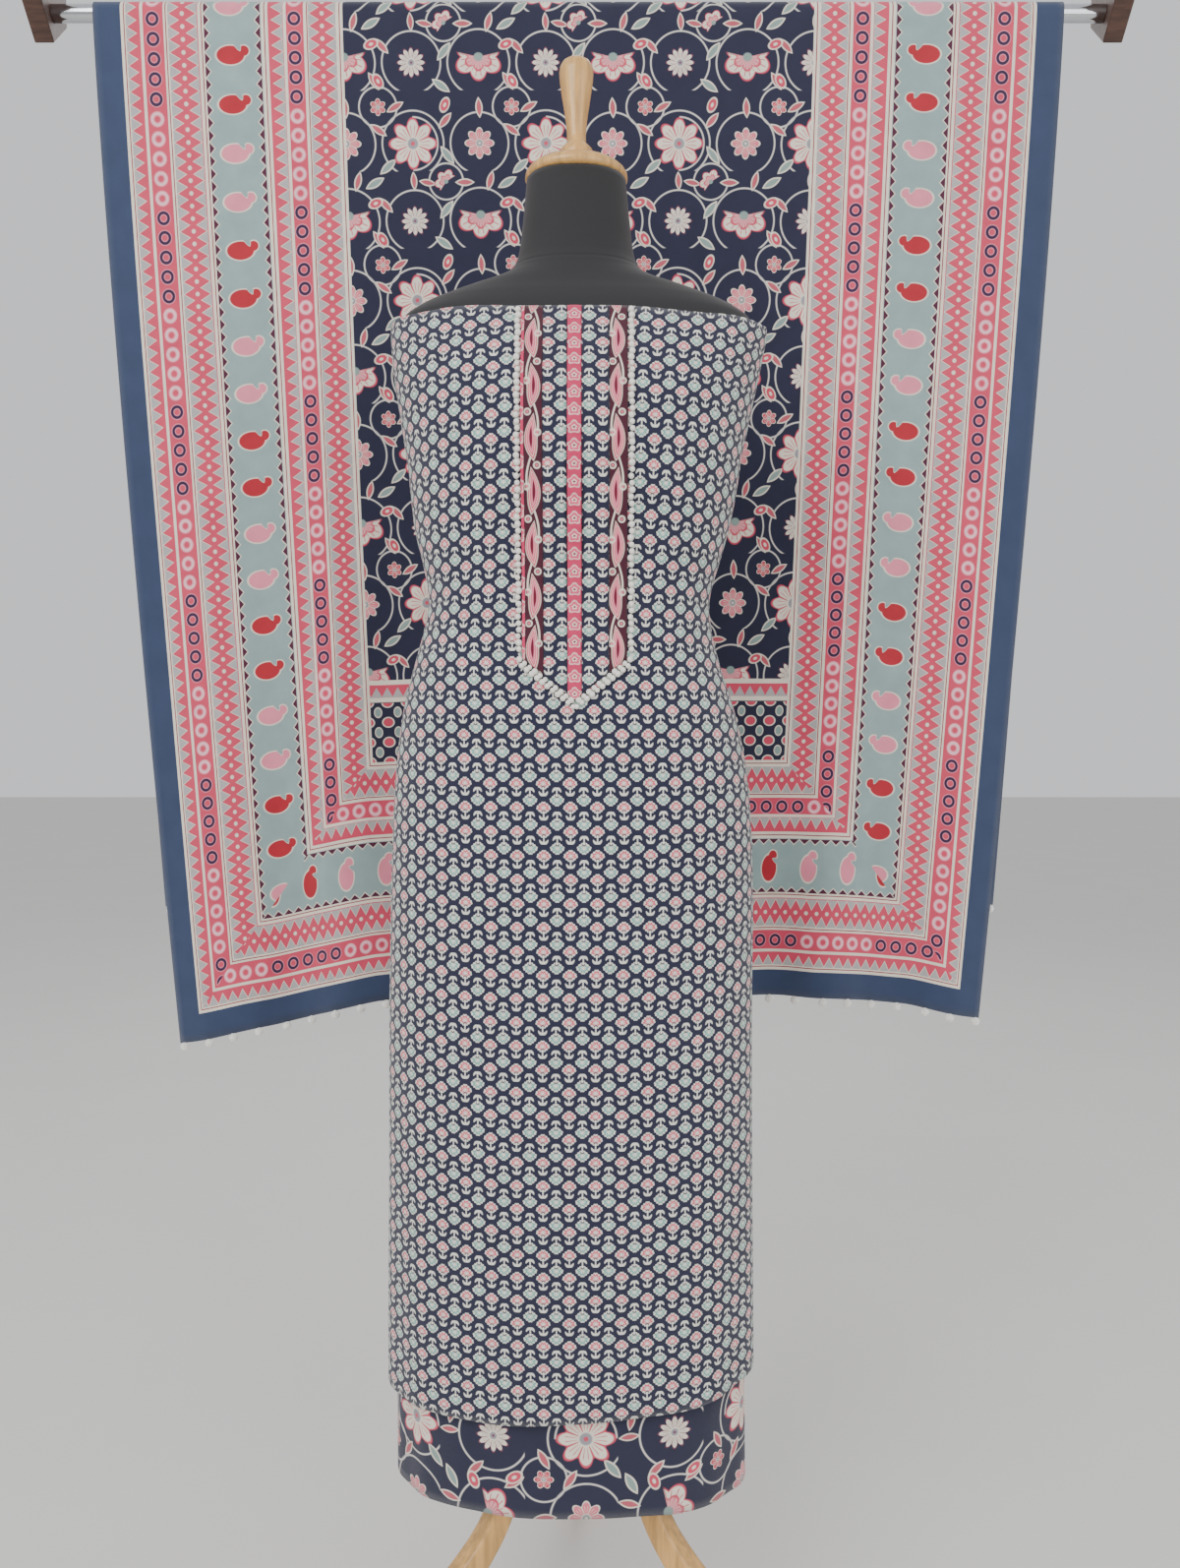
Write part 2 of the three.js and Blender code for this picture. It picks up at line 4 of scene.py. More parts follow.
import bpy
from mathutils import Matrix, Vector


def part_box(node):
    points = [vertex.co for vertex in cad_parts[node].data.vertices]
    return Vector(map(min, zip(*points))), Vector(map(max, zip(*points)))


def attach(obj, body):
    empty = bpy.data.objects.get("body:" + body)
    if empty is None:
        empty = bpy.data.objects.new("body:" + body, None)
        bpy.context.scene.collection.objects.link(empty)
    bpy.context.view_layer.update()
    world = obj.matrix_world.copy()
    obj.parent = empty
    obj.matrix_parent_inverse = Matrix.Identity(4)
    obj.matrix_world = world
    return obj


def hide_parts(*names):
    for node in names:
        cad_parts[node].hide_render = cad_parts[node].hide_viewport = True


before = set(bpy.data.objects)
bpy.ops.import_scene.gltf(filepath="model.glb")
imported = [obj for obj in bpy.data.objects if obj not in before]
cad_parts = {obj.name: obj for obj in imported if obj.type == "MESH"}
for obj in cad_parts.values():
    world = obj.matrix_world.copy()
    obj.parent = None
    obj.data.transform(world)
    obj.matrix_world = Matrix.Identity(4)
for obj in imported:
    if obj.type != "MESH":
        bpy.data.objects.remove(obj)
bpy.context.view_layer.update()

# ---- The view: standing in front of the form, a little right of its middle, looking
# slightly down. The pole's axis is the line that everything on the form is measured from.
pole_low, pole_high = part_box("form_pole")
pole_x = (pole_low.x + pole_high.x) / 2
pole_y = (pole_low.y + pole_high.y) / 2

camera_data = bpy.data.cameras.new("view")
camera_data.lens = 27.03
camera_data.sensor_width = 36.0
camera = bpy.data.objects.new("view", camera_data)
camera.location = (pole_x + 0.013, pole_y - 1.16, 0.98)
camera.rotation_euler = (math.radians(90 - 3.6), 0, 0)
bpy.context.scene.collection.objects.link(camera)
bpy.context.scene.camera = camera

# ---- Kameez: one length of cotton, dyed dark navy and block printed, wrapped strapless round
# the form and lapped at the centre back, where pins hold it. It hangs straight from the hips
# to a plain hem.
BODY = [  # height, half width, centre, front, back
    (1.360, 0.1770, 0.0020, 0.078, 0.084),
    (1.340, 0.1800, 0.0025, 0.086, 0.090),
    (1.305, 0.1760, 0.0005, 0.100, 0.095),
    (1.265, 0.1690, -0.0010, 0.111, 0.097),
    (1.225, 0.1620, -0.0020, 0.115, 0.096),
    (1.185, 0.1565, -0.0030, 0.112, 0.092),
    (1.150, 0.1510, -0.0045, 0.105, 0.086),
    (1.115, 0.1420, -0.0055, 0.099, 0.081),
    (1.085, 0.1360, -0.0070, 0.096, 0.078),
    (1.055, 0.1400, -0.0085, 0.096, 0.080),
    (1.020, 0.1495, -0.0090, 0.098, 0.087),
    (0.980, 0.1610, -0.0075, 0.101, 0.097),
    (0.935, 0.1695, -0.0055, 0.104, 0.106),
    (0.885, 0.1745, -0.0045, 0.106, 0.112),
    (0.800, 0.1780, -0.0045, 0.107, 0.114),
    (0.680, 0.1795, -0.0060, 0.106, 0.113),
    (0.520, 0.1815, -0.0060, 0.105, 0.110),
    (0.400, 0.1835, -0.0060, 0.104, 0.108),
    (0.200, 0.1860, -0.0055, 0.103, 0.106),
]
SECTION_POWER = 2.4


def smooth_read(rows, at, column):
    """A table's column at any height, on a smooth line through its rows, tallest first."""
    if at >= rows[0][0]:
        return rows[0][column]
    if at <= rows[-1][0]:
        return rows[-1][column]
    i = next(k for k in range(1, len(rows)) if at >= rows[k][0])
    span = rows[i - 1][0] - rows[i][0]
    t = (rows[i - 1][0] - at) / span
    before = rows[max(0, i - 2)]
    after = rows[min(len(rows) - 1, i + 1)]
    rise0 = (rows[i][column] - before[column]) / (before[0] - rows[i][0]) * span
    rise1 = (after[column] - rows[i - 1][column]) / (rows[i - 1][0] - after[0]) * span
    return ((2 * t**3 - 3 * t**2 + 1) * rows[i - 1][column] + (t**3 - 2 * t**2 + t) * rise0
            + (3 * t**2 - 2 * t**3) * rows[i][column] + (t**3 - t**2) * rise1)


def oval_point(half, centre, front, back, angle, inset):
    """A point of the section, at an angle from the front, moved in along its normal."""
    sine, cosine = math.sin(angle), math.cos(angle)
    depth = front if cosine > 0 else back
    x = half * math.copysign(abs(sine) ** (2 / SECTION_POWER), sine)
    y = -depth * math.copysign(abs(cosine) ** (2 / SECTION_POWER), cosine)
    nx = math.copysign((abs(x) / half) ** (SECTION_POWER - 1) / half, x)
    ny = math.copysign((abs(y) / depth) ** (SECTION_POWER - 1) / depth, y)
    size = math.hypot(nx, ny)
    return pole_x + centre + x - inset * nx / size, pole_y + y - inset * ny / size


def hump(distance, half_width):
    """A smooth rise, 1 at the middle and 0 at half_width from it."""
    if abs(distance) >= half_width:
        return 0.0
    return 0.5 + 0.5 * math.cos(math.pi * distance / half_width)


FLUTES = [  # angle in degrees from the front, half width, depth in metres, height it starts at
    (-62, 15, 0.0030, 0.80), (58, 14, 0.0025, 0.76), (96, 17, 0.0030, 0.70),
    (-104, 18, 0.0030, 0.74), (141, 16, 0.0035, 0.82), (-146, 15, 0.0030, 0.78),
    (-24, 11, 0.0010, 0.62), (19, 12, 0.0012, 0.70),
]
WAIST_CREASES = [  # angle, height, half width in degrees, half height, depth, tilt
    (-66, 1.075, 16, 0.010, 0.0022, 0.30), (-58, 1.045, 18, 0.009, 0.0018, -0.25),
    (64, 1.080, 15, 0.010, 0.0022, -0.30), (57, 1.048, 17, 0.009, 0.0018, 0.25),
    (-40, 1.110, 14, 0.012, 0.0012, 0.45), (42, 1.118, 13, 0.011, 0.0012, -0.45),
    (-84, 1.200, 12, 0.020, 0.0020, 0.90), (86, 1.215, 12, 0.020, 0.0020, -0.90),
    (120, 1.070, 20, 0.010, 0.0024, 0.10), (-122, 1.066, 20, 0.010, 0.0024, -0.10),
    (165, 1.085, 18, 0.010, 0.0020, 0.05), (-28, 0.955, 22, 0.016, 0.0010, 0.15),
]


def body_point(angle, height, inset=0.0):
    """A point of the kameez's outside, with its flutes and creases."""
    degrees = math.degrees(angle)
    for at, width, depth, start in FLUTES:
        growth = min(1.0, max(0.0, (start - height) / (start - 0.32)))
        inset += depth * growth * hump((degrees - at + 540) % 360 - 180, width)
    for at, level, width, tall, depth, tilt in WAIST_CREASES:
        across = (degrees - at + 540) % 360 - 180
        inset += depth * hump(across, width) * hump(height - level - tilt * across * 0.003, tall)
    sizes = [smooth_read(BODY, height, column) for column in (1, 2, 3, 4)]
    x, y = oval_point(*sizes, angle, inset)
    return Vector((x, y, height))


def new_piece(name, vertices, faces):
    mesh = bpy.data.meshes.new(name)
    mesh.from_pydata(vertices, [], faces)
    piece = bpy.data.objects.new(name, mesh)
    bpy.context.scene.collection.objects.link(piece)
    return piece


def cloth_mesh(name, grid, uvs, thickness, closed=False):
    """One sheet from a grid of points, with its own cloth coordinates, given a thickness."""
    rows, columns = len(grid), len(grid[0])
    vertices = [point for row in grid for point in row]
    faces = []
    for i in range(rows - 1):
        for j in range(columns if closed else columns - 1):
            k = (j + 1) % columns
            faces.append((i * columns + j, (i + 1) * columns + j,
                          (i + 1) * columns + k, i * columns + k))
    piece = new_piece(name, vertices, faces)
    mesh = piece.data
    layer = mesh.uv_layers.new(name="cloth")
    flat = [uv for row in uvs for uv in row]
    for loop in mesh.loops:
        layer.data[loop.index].uv = flat[loop.vertex_index]
    mesh.polygons.foreach_set("use_smooth", [True] * len(mesh.polygons))
    if thickness:
        wall = piece.modifiers.new("wall", "SOLIDIFY")
        wall.thickness = thickness
        wall.offset = -1.0
        apply_modifiers(piece)
    return piece


def apply_modifiers(piece):
    """Makes a piece's modifiers part of its mesh and leaves nothing selected."""
    bpy.ops.object.select_all(action="DESELECT")
    bpy.context.view_layer.objects.active = piece
    piece.select_set(True)
    for modifier in list(piece.modifiers):
        bpy.ops.object.modifier_apply(modifier=modifier.name)
    piece.select_set(False)


def fit(piece, slot, material, *nodes):
    """Gives a piece its finish, rides it, and hides the CAD nodes that it replaces; slot is not
    used.
    """
    piece.data.materials.clear()
    piece.data.materials.append(material)
    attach(piece, "root")
    if nodes:
        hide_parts(*nodes)


class Amount:
    """A number that changes over the cloth, worked out by shader nodes."""

    def __init__(self, tree, socket):
        self.tree = tree
        self.socket = socket

    def apply(self, operation, *others):
        node = self.tree.nodes.new("ShaderNodeMath")
        node.operation = operation
        for place, value in enumerate((self, *others)):
            if isinstance(value, Amount):
                self.tree.links.new(value.socket, node.inputs[place])
            else:
                node.inputs[place].default_value = value
        return Amount(self.tree, node.outputs[0])

    def __add__(self, other):
        return self.apply("ADD", other)

    def __sub__(self, other):
        return self.apply("SUBTRACT", other)

    def __mul__(self, other):
        return self.apply("MULTIPLY", other)

    def __truediv__(self, other):
        return self.apply("DIVIDE", other)

    def __abs__(self):
        return self.apply("ABSOLUTE")

    def power(self, other):
        return self.apply("POWER", other)

    def cosine(self):
        return self.apply("COSINE")

    def smaller(self, other):
        return self.apply("MINIMUM", other)

    def larger(self, other):
        return self.apply("MAXIMUM", other)

    def wrap(self, half):
        return self.apply("WRAP", half, -half)

    def zigzag(self, pitch):
        return self.apply("PINGPONG", pitch / 2) / (pitch / 2)

    def under(self, edge, soft=0.0004):
        """1 where this is below the edge and 0 above it, with a soft step between."""
        value = self
        if isinstance(edge, Amount):
            value, edge = self - edge, 0.0
        node = self.tree.nodes.new("ShaderNodeMapRange")
        self.tree.links.new(value.socket, node.inputs["Value"])
        node.inputs["From Min"].default_value = edge - soft
        node.inputs["From Max"].default_value = edge + soft
        node.inputs["To Min"].default_value = 1.0
        node.inputs["To Max"].default_value = 0.0
        return Amount(self.tree, node.outputs[0])

    def over(self, edge, soft=0.0004):
        return self.under(edge, soft) * -1.0 + 1.0


def linear(colour):
    """Screen colour, 0 to 255, as the linear colour that a shader takes."""
    parts = [channel / 255 for channel in colour]
    return (*[c / 12.92 if c <= 0.04045 else ((c + 0.055) / 1.055) ** 2.4 for c in parts], 1.0)


class Dye:
    """A cloth's colour, painted layer on layer over its ground, then woven."""

    def __init__(self, name, ground):
        self.material = bpy.data.materials.new(name)
        self.material.use_nodes = True
        self.tree = self.material.node_tree
        self.tree.nodes.clear()
        place = self.tree.nodes.new("ShaderNodeUVMap")
        place.uv_map = "cloth"
        split = self.tree.nodes.new("ShaderNodeSeparateXYZ")
        self.tree.links.new(place.outputs[0], split.inputs[0])
        self.place = place.outputs[0]
        self.u = Amount(self.tree, split.outputs[0])
        self.v = Amount(self.tree, split.outputs[1])
        self.colour = linear(ground)

    def reach(self, x, y):
        """Distance from the place where x and y are both nought."""
        join = self.tree.nodes.new("ShaderNodeCombineXYZ")
        for place, value in enumerate((x, y)):
            self.tree.links.new(value.socket, join.inputs[place])
        size = self.tree.nodes.new("ShaderNodeVectorMath")
        size.operation = "LENGTH"
        self.tree.links.new(join.outputs[0], size.inputs[0])
        return Amount(self.tree, size.outputs["Value"])

    def paint(self, mask, colour):
        node = self.tree.nodes.new("ShaderNodeMix")
        node.data_type = "RGBA"
        self.tree.links.new(mask.socket, node.inputs[0])
        self.put(self.colour, node.inputs[6])
        self.put(colour if not isinstance(colour, tuple) else linear(colour), node.inputs[7])
        self.colour = node.outputs[2]

    def put(self, colour, socket):
        if isinstance(colour, tuple):
            socket.default_value = colour
        else:
            self.tree.links.new(colour, socket)

    def weave(self, thread=0.00042, depth=0.00006, roughness=0.88, sheen=0.25):
        """Slightly uneven dye, a plain weave and the dull sheen of washed cotton."""
        nodes, links = self.tree.nodes, self.tree.links
        uneven = nodes.new("ShaderNodeTexNoise")
        uneven.inputs["Scale"].default_value = 38.0
        uneven.inputs["Detail"].default_value = 6.0
        links.new(self.place, uneven.inputs["Vector"])
        shade = nodes.new("ShaderNodeHueSaturation")
        bright = Amount(self.tree, uneven.outputs[0]) * 0.34 + 0.83
        links.new(bright.socket, shade.inputs["Value"])
        self.put(self.colour, shade.inputs["Color"])
        threads = ((self.u * (math.tau / thread)).cosine()
                   + (self.v * (math.tau / thread)).cosine())
        bump = nodes.new("ShaderNodeBump")
        bump.inputs["Strength"].default_value = 0.5
        bump.inputs["Distance"].default_value = depth
        links.new(threads.socket, bump.inputs["Height"])
        surface = nodes.new("ShaderNodeBsdfPrincipled")
        surface.inputs["Roughness"].default_value = roughness
        surface.inputs["Sheen Weight"].default_value = sheen
        surface.inputs["Sheen Roughness"].default_value = 0.5
        surface.inputs["Specular IOR Level"].default_value = 0.2
        links.new(shade.outputs[0], surface.inputs["Base Color"])
        links.new(bump.outputs[0], surface.inputs["Normal"])
        output = nodes.new("ShaderNodeOutputMaterial")
        links.new(surface.outputs[0], output.inputs[0])
        return self.material


NAVY = (40, 41, 62)
WHITE = (226, 224, 214)
PINK = (224, 98, 118)
TEAL = (118, 172, 162)
COLUMN_PITCH = 0.0242
ROW_PITCH = 0.0218


def small_flower(dye, x, y, petals):
    """A scalloped fan on a stem with two curled leaves; x and y run from its middle."""
    turn = x.apply("ARCTAN2", y)
    spread = ((abs(x) / 0.0066).power(1.3) + (abs(y - 0.0004) / 0.0057).power(1.3))
    fan = (spread + (turn * 13.0).cosine() * 0.08).under(1.0, 0.06)
    curl = y + 0.0058
    round_leaf = dye.reach(x, curl)
    leaves = (abs(round_leaf - 0.0038) + curl * 0.30).under(0.0001, 0.0003) * y.under(-0.0066)
    stem = abs(x).under(0.0006, 0.0003) * abs(y + 0.0080).under(0.0034)
    dye.paint(fan.larger(leaves).larger(stem), WHITE)
    rays = (spread + (turn * 9.0).cosine() * 0.17)
    band = abs(rays - 0.50).under(0.22, 0.06) * y.over(-0.0022)
    dye.paint(band, petals)
    arch = abs(dye.reach(x, y + 0.0034) - 0.0014).under(0.0005, 0.0003) * y.over(-0.0036)
    dye.paint(arch, (70, 40, 60))


def small_flowers(dye):
    """The whole print: pink flowers upright, teal ones turned over between them."""
    half_column, half_row = COLUMN_PITCH / 2, ROW_PITCH / 2
    small_flower(dye, dye.u.wrap(half_column), (dye.v - 0.0035).wrap(half_row), PINK)
    x = (dye.u + half_column).wrap(half_column) * -1.0
    y = (dye.v + 0.0105).wrap(half_row) * -1.0
    small_flower(dye, x, y, TEAL)


kameez_dye = Dye("kameez_navy_print", NAVY)
small_flowers(kameez_dye)
kameez_print = kameez_dye.weave()


KAMEEZ_TOP = 1.341
KAMEEZ_HEM = 0.320
CLOTH_WALL = 0.0011
LAP_ANGLE = math.radians(27)
LAP_EASE = 0.6
LAP_LIFT = 0.0032
ARC_TOP = 1.36
ARC_STEP = 0.005


def kameez_top(angle):
    tilt = 0.0025 * math.cos(2 * angle - math.radians(70))
    return KAMEEZ_TOP - tilt + 0.0008 * math.sin(9 * angle)


def kameez_hem(angle):
    return (KAMEEZ_HEM + 0.008 * math.sin(angle - math.radians(12)) - 0.003 * math.cos(2 * angle)
            + 0.0012 * math.sin(7 * angle))


def front_arc():
    """How far down the cloth each height lies, measured along the centre front."""
    steps = [ARC_TOP - ARC_STEP * i for i in range(240)]
    lengths = [0.0]
    for above, below in zip(steps, steps[1:]):
        rise = smooth_read(BODY, above, 3) - smooth_read(BODY, below, 3)
        lengths.append(lengths[-1] + math.hypot(above - below, rise))
    return lengths


ARC_LENGTHS = front_arc()


def cloth_down(height):
    """How far below the cloth's top line a height lies, along the cloth."""
    place = min(max((ARC_TOP - height) / ARC_STEP, 0.0), len(ARC_LENGTHS) - 1.001)
    i = int(place)
    return ARC_LENGTHS[i] + (ARC_LENGTHS[i + 1] - ARC_LENGTHS[i]) * (place - i)


def wrapped_cloth(name, rows, columns, top, hem, inset, lap_inside):
    """A length of cloth wrapped once round the body, with a lap at the centre back."""
    first = -math.pi - LAP_ANGLE / 2
    whole = math.tau + LAP_ANGLE
    grid, uvs = [], []
    for i in range(rows + 1):
        share = i / rows
        line, across = [], []
        for j in range(columns + 1):
            angle = first + whole * j / columns
            height = top(angle) + (hem(angle) - top(angle)) * share
            over = min(1.0, max(0.0, (angle - (math.pi - LAP_ANGLE / 2 - LAP_EASE)) / LAP_EASE))
            lift = LAP_LIFT * (over - (1.0 if lap_inside else 0.0))
            line.append(body_point(angle, height, inset - lift))
            across.append(0.0)
        middle = min(range(columns + 1), key=lambda j: abs(first + whole * j / columns))
        for j in range(middle + 1, columns + 1):
            step = Vector(line[j].xy) - Vector(line[j - 1].xy)
            across[j] = across[j - 1] + step.length
        for j in range(middle - 1, -1, -1):
            step = Vector(line[j].xy) - Vector(line[j + 1].xy)
            across[j] = across[j + 1] - step.length
        grid.append(line)
        uvs.append([(across[j], -cloth_down(line[j].z)) for j in range(columns + 1)])
    return cloth_mesh(name, grid, uvs, CLOTH_WALL)


kameez = wrapped_cloth("kameez_wrap", 130, 150, kameez_top, kameez_hem, 0.0, False)
fit(kameez, "kameez_print", kameez_print, "kameez_cloth")


# ---- Salwar print and cloth: navy cotton with a vine of lotuses, its print lying on its
# side, wrapped under the kameez and showing below the kameez's hem.
CREAM = (232, 222, 206)
ROSE = (206, 74, 96)
SAGE = (138, 158, 152)
GREY = (150, 150, 156)
JAAL_WIDE = 0.156
JAAL_TALL = 0.173


def jaal(dye, u, v):
    """A vine of open and side-on lotuses, stars, bells, buds and leaves that repeats."""
    half_wide, half_tall = JAAL_WIDE / 2, JAAL_TALL / 2

    def local(x, y, turn=0.0):
        dx, dy = (u - x).wrap(half_wide), (v - y).wrap(half_tall)
        if not turn:
            return dx, dy
        c, s = math.cos(turn), math.sin(turn)
        return dx * c + dy * s, dy * c - dx * s

    for x, y, radius, above in (
            (0.040, 0.045, 0.036, 0), (0.118, 0.130, 0.036, 0), (0.040, 0.045, 0.029, 1),
            (0.118, 0.045, 0.034, 0), (0.040, 0.130, 0.034, 0), (0.078, 0.087, 0.020, 0),
            (0.156, 0.005, 0.022, 0)):
        dx, dy = local(x, y)
        side = dx.over(0.0) if above else dy.under(0.030)
        dye.paint(abs(dye.reach(dx, dy) - radius).under(0.0011) * side, GREY)
        dye.paint(abs(dye.reach(dx, dy) - radius).under(0.0005) * side, CREAM)

    for x, y, turn, size in (
            (0.000, 0.030, 0.6, 1.0), (0.010, 0.070, -0.7, 1.1), (0.078, 0.020, 2.3, 1.0),
            (0.080, 0.058, 0.9, 1.1), (0.150, 0.088, -0.5, 1.1), (0.006, 0.112, 0.8, 1.0),
            (0.078, 0.118, -0.9, 1.1), (0.074, 0.155, 0.6, 1.1), (0.152, 0.150, 1.0, 1.0),
            (0.100, 0.088, 0.0, 1.0), (0.056, 0.088, 0.2, 0.9), (0.118, 0.006, 1.5, 1.0),
            (0.040, 0.086, 1.5, 0.9), (0.020, 0.005, -0.5, 1.0), (0.130, 0.086, -1.3, 1.0)):
        dx, dy = local(x, y, turn)
        leaf = abs(dy) / (0.0042 * size) + (abs(dx) / (0.0115 * size)).power(2.0)
        dye.paint(leaf.under(1.0, 0.10), CREAM)
        dye.paint(leaf.under(0.66, 0.10), SAGE if size > 1.05 else (190, 92, 104))

    def open_lotus(x, y, radius, petals, fill, stroke):
        dx, dy = local(x, y)
        reach = dye.reach(dx, dy) / radius
        turn = dx.apply("ARCTAN2", dy)
        lobe = abs((turn * (petals / 2)).cosine())
        edge = lobe * 0.36 + 0.66
        dye.paint(reach.under(edge * 1.10, 0.03), stroke)
        dye.paint(reach.under(edge, 0.03), fill)
        lines = abs((turn * petals * 1.5).cosine()).under(0.26, 0.12)
        dye.paint(lines * reach.under(edge * 0.80, 0.04) * reach.over(0.34, 0.04), stroke)
        dye.paint(lobe.under(0.22, 0.08) * reach.under(0.80, 0.04), stroke)
        dye.paint(reach.under(0.30, 0.03), CREAM)
        dye.paint(reach.under(0.24, 0.03), GREY)
        dye.paint(reach.under(0.09, 0.03), stroke)

    def side_lotus(x, y, radius, turn_by):
        dx, dy = local(x, y, turn_by)
        reach = dye.reach(dx, dy * 1.12) / radius
        turn = dx.apply("ARCTAN2", dy)
        lobe = abs((turn * 3.0).cosine())
        fan = abs(turn).under(1.75, 0.06)
        edge = lobe * 0.30 + 0.72
        dye.paint(reach.under(edge * 1.09, 0.03) * fan, ROSE)
        dye.paint(reach.under(edge, 0.03) * fan, CREAM)
        dye.paint(reach.under(edge * 0.66, 0.03) * fan, ROSE)
        dye.paint(reach.under(edge * 0.56, 0.03) * fan, (232, 160, 166))
        dye.paint(abs((turn * 10.0).cosine()).under(0.25, 0.12) * fan
                  * reach.under(edge * 0.90, 0.04) * reach.over(0.2, 0.03), ROSE)
        dye.paint(reach.under(0.20, 0.03), SAGE)

    open_lotus(0.040, 0.045, 0.0255, 8, CREAM, ROSE)
    side_lotus(0.118, 0.124, 0.0265, 0.0)
    open_lotus(0.118, 0.045, 0.0155, 8, (226, 120, 136), CREAM)
    open_lotus(0.040, 0.130, 0.0150, 12, CREAM, (120, 60, 84))
    side_lotus(0.078, 0.087, 0.0130, 2.4)
    open_lotus(0.156, 0.005, 0.0085, 6, ROSE, CREAM)
    for x, y, turn in ((0.078, 0.003, 0.4), (0.001, 0.150, 2.6), (0.150, 0.110, 1.2)):
        dx, dy = local(x, y, turn)
        bell = dye.reach(dx, dy * 0.62)
        dye.paint(bell.under(0.0056), CREAM)
        dye.paint(bell.under(0.0044), ROSE)
        dye.paint(bell.under(0.0016), CREAM)


SALWAR_TOP = 0.78
SALWAR_HEM = 0.217
SALWAR_INSET = 0.006
salwar_dye = Dye("salwar_lotus_print", NAVY)
jaal(salwar_dye, salwar_dye.v + 0.02, salwar_dye.u + 0.03)
salwar_print = salwar_dye.weave()


def salwar_top(angle):
    return SALWAR_TOP


def salwar_hem(angle):
    droop = 0.004 * math.sin(-angle) * max(0.0, math.cos(angle / 2))
    return SALWAR_HEM + droop + 0.0008 * math.sin(8 * angle)


salwar = wrapped_cloth("salwar_wrap", 60, 140, salwar_top, salwar_hem, SALWAR_INSET, True)
fit(salwar, "salwar_print", salwar_print, "salwar_cloth")


# ---- Dupatta: one length of soft cotton over the rod, framed on every edge by printed
# borders, with navy selvedges. Both of its hems carry pompoms.
rod_low, rod_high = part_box("rod")
rod_y = (rod_low.y + rod_high.y) / 2
rod_z = (rod_low.z + rod_high.z) / 2
ROD_RADIUS = 0.0095
CROWN_RADIUS = ROD_RADIUS + 0.0018
DUPATTA_HALF = 0.542
CLOTH_HALF = 0.560
FRONT_DROPS = [(-0.542, 1.181), (-0.42, 1.160), (-0.27, 1.128), (-0.12, 1.120),
               (0.16, 1.124), (0.33, 1.124), (0.44, 1.134), (0.542, 1.150)]
BACK_DROPS = [(-0.541, 1.016), (-0.2, 1.030), (0.24, 1.024), (0.541, 1.014)]
FALL_FOLDS = [  # x, half width, depth towards the front at the hem
    (-0.470, 0.055, 0.007), (-0.385, 0.042, -0.008), (-0.300, 0.046, 0.011),
    (-0.215, 0.040, -0.008), (-0.090, 0.060, 0.006), (0.040, 0.056, -0.006),
    (0.150, 0.050, 0.007), (0.255, 0.045, -0.008), (0.335, 0.042, 0.010),
    (0.420, 0.044, -0.008), (0.495, 0.040, 0.006),
]
FRONT_LENGTH = 1.14
BACK_LENGTH = 1.03
DUPATTA_WALL = 0.0007
PANEL_TALL = 0.071
BORDER_WIDE = 0.288
BAND_SPAN = 0.3
TOOTH_PITCH = 0.0135
NAVY_SELVEDGE = (56, 68, 96)
SAGE_BAND = (146, 168, 166)
BORDER_PINK = (212, 76, 100)
TOOTH_GREY = (176, 172, 172)


def read_drop(rows, x):
    for (x0, drop0), (x1, drop1) in zip(rows, rows[1:]):
        if x <= x1:
            t = min(1.0, max(0.0, (x - x0) / (x1 - x0)))
            t = t * t * (3 - 2 * t) * 0.5 + t * 0.5
            return drop0 + (drop1 - drop0) * t
    return rows[-1][1]


def fall_point(front, x, share):
    """A point of a fall: share runs from 0 beside the rod to 1 at the hem."""
    drop = read_drop(FRONT_DROPS if front else BACK_DROPS, x)
    narrowing, lean = (0.062, 0.030) if front else (0.046, 0.014)
    fold = sum(depth * share**1.5 * hump(x - at, width * 1.4) for at, width, depth in FALL_FOLDS)
    ripple = 0.0012 * share * math.sin(x * 61 + 1.3) * math.sin(share * 9 + x * 7)
    y = rod_y + (-1 if front else 1) * CROWN_RADIUS + lean * share - fold + ripple
    return Vector((pole_x + x * (1 - narrowing / DUPATTA_HALF * share**1.3), y,
                   rod_z - drop * share))


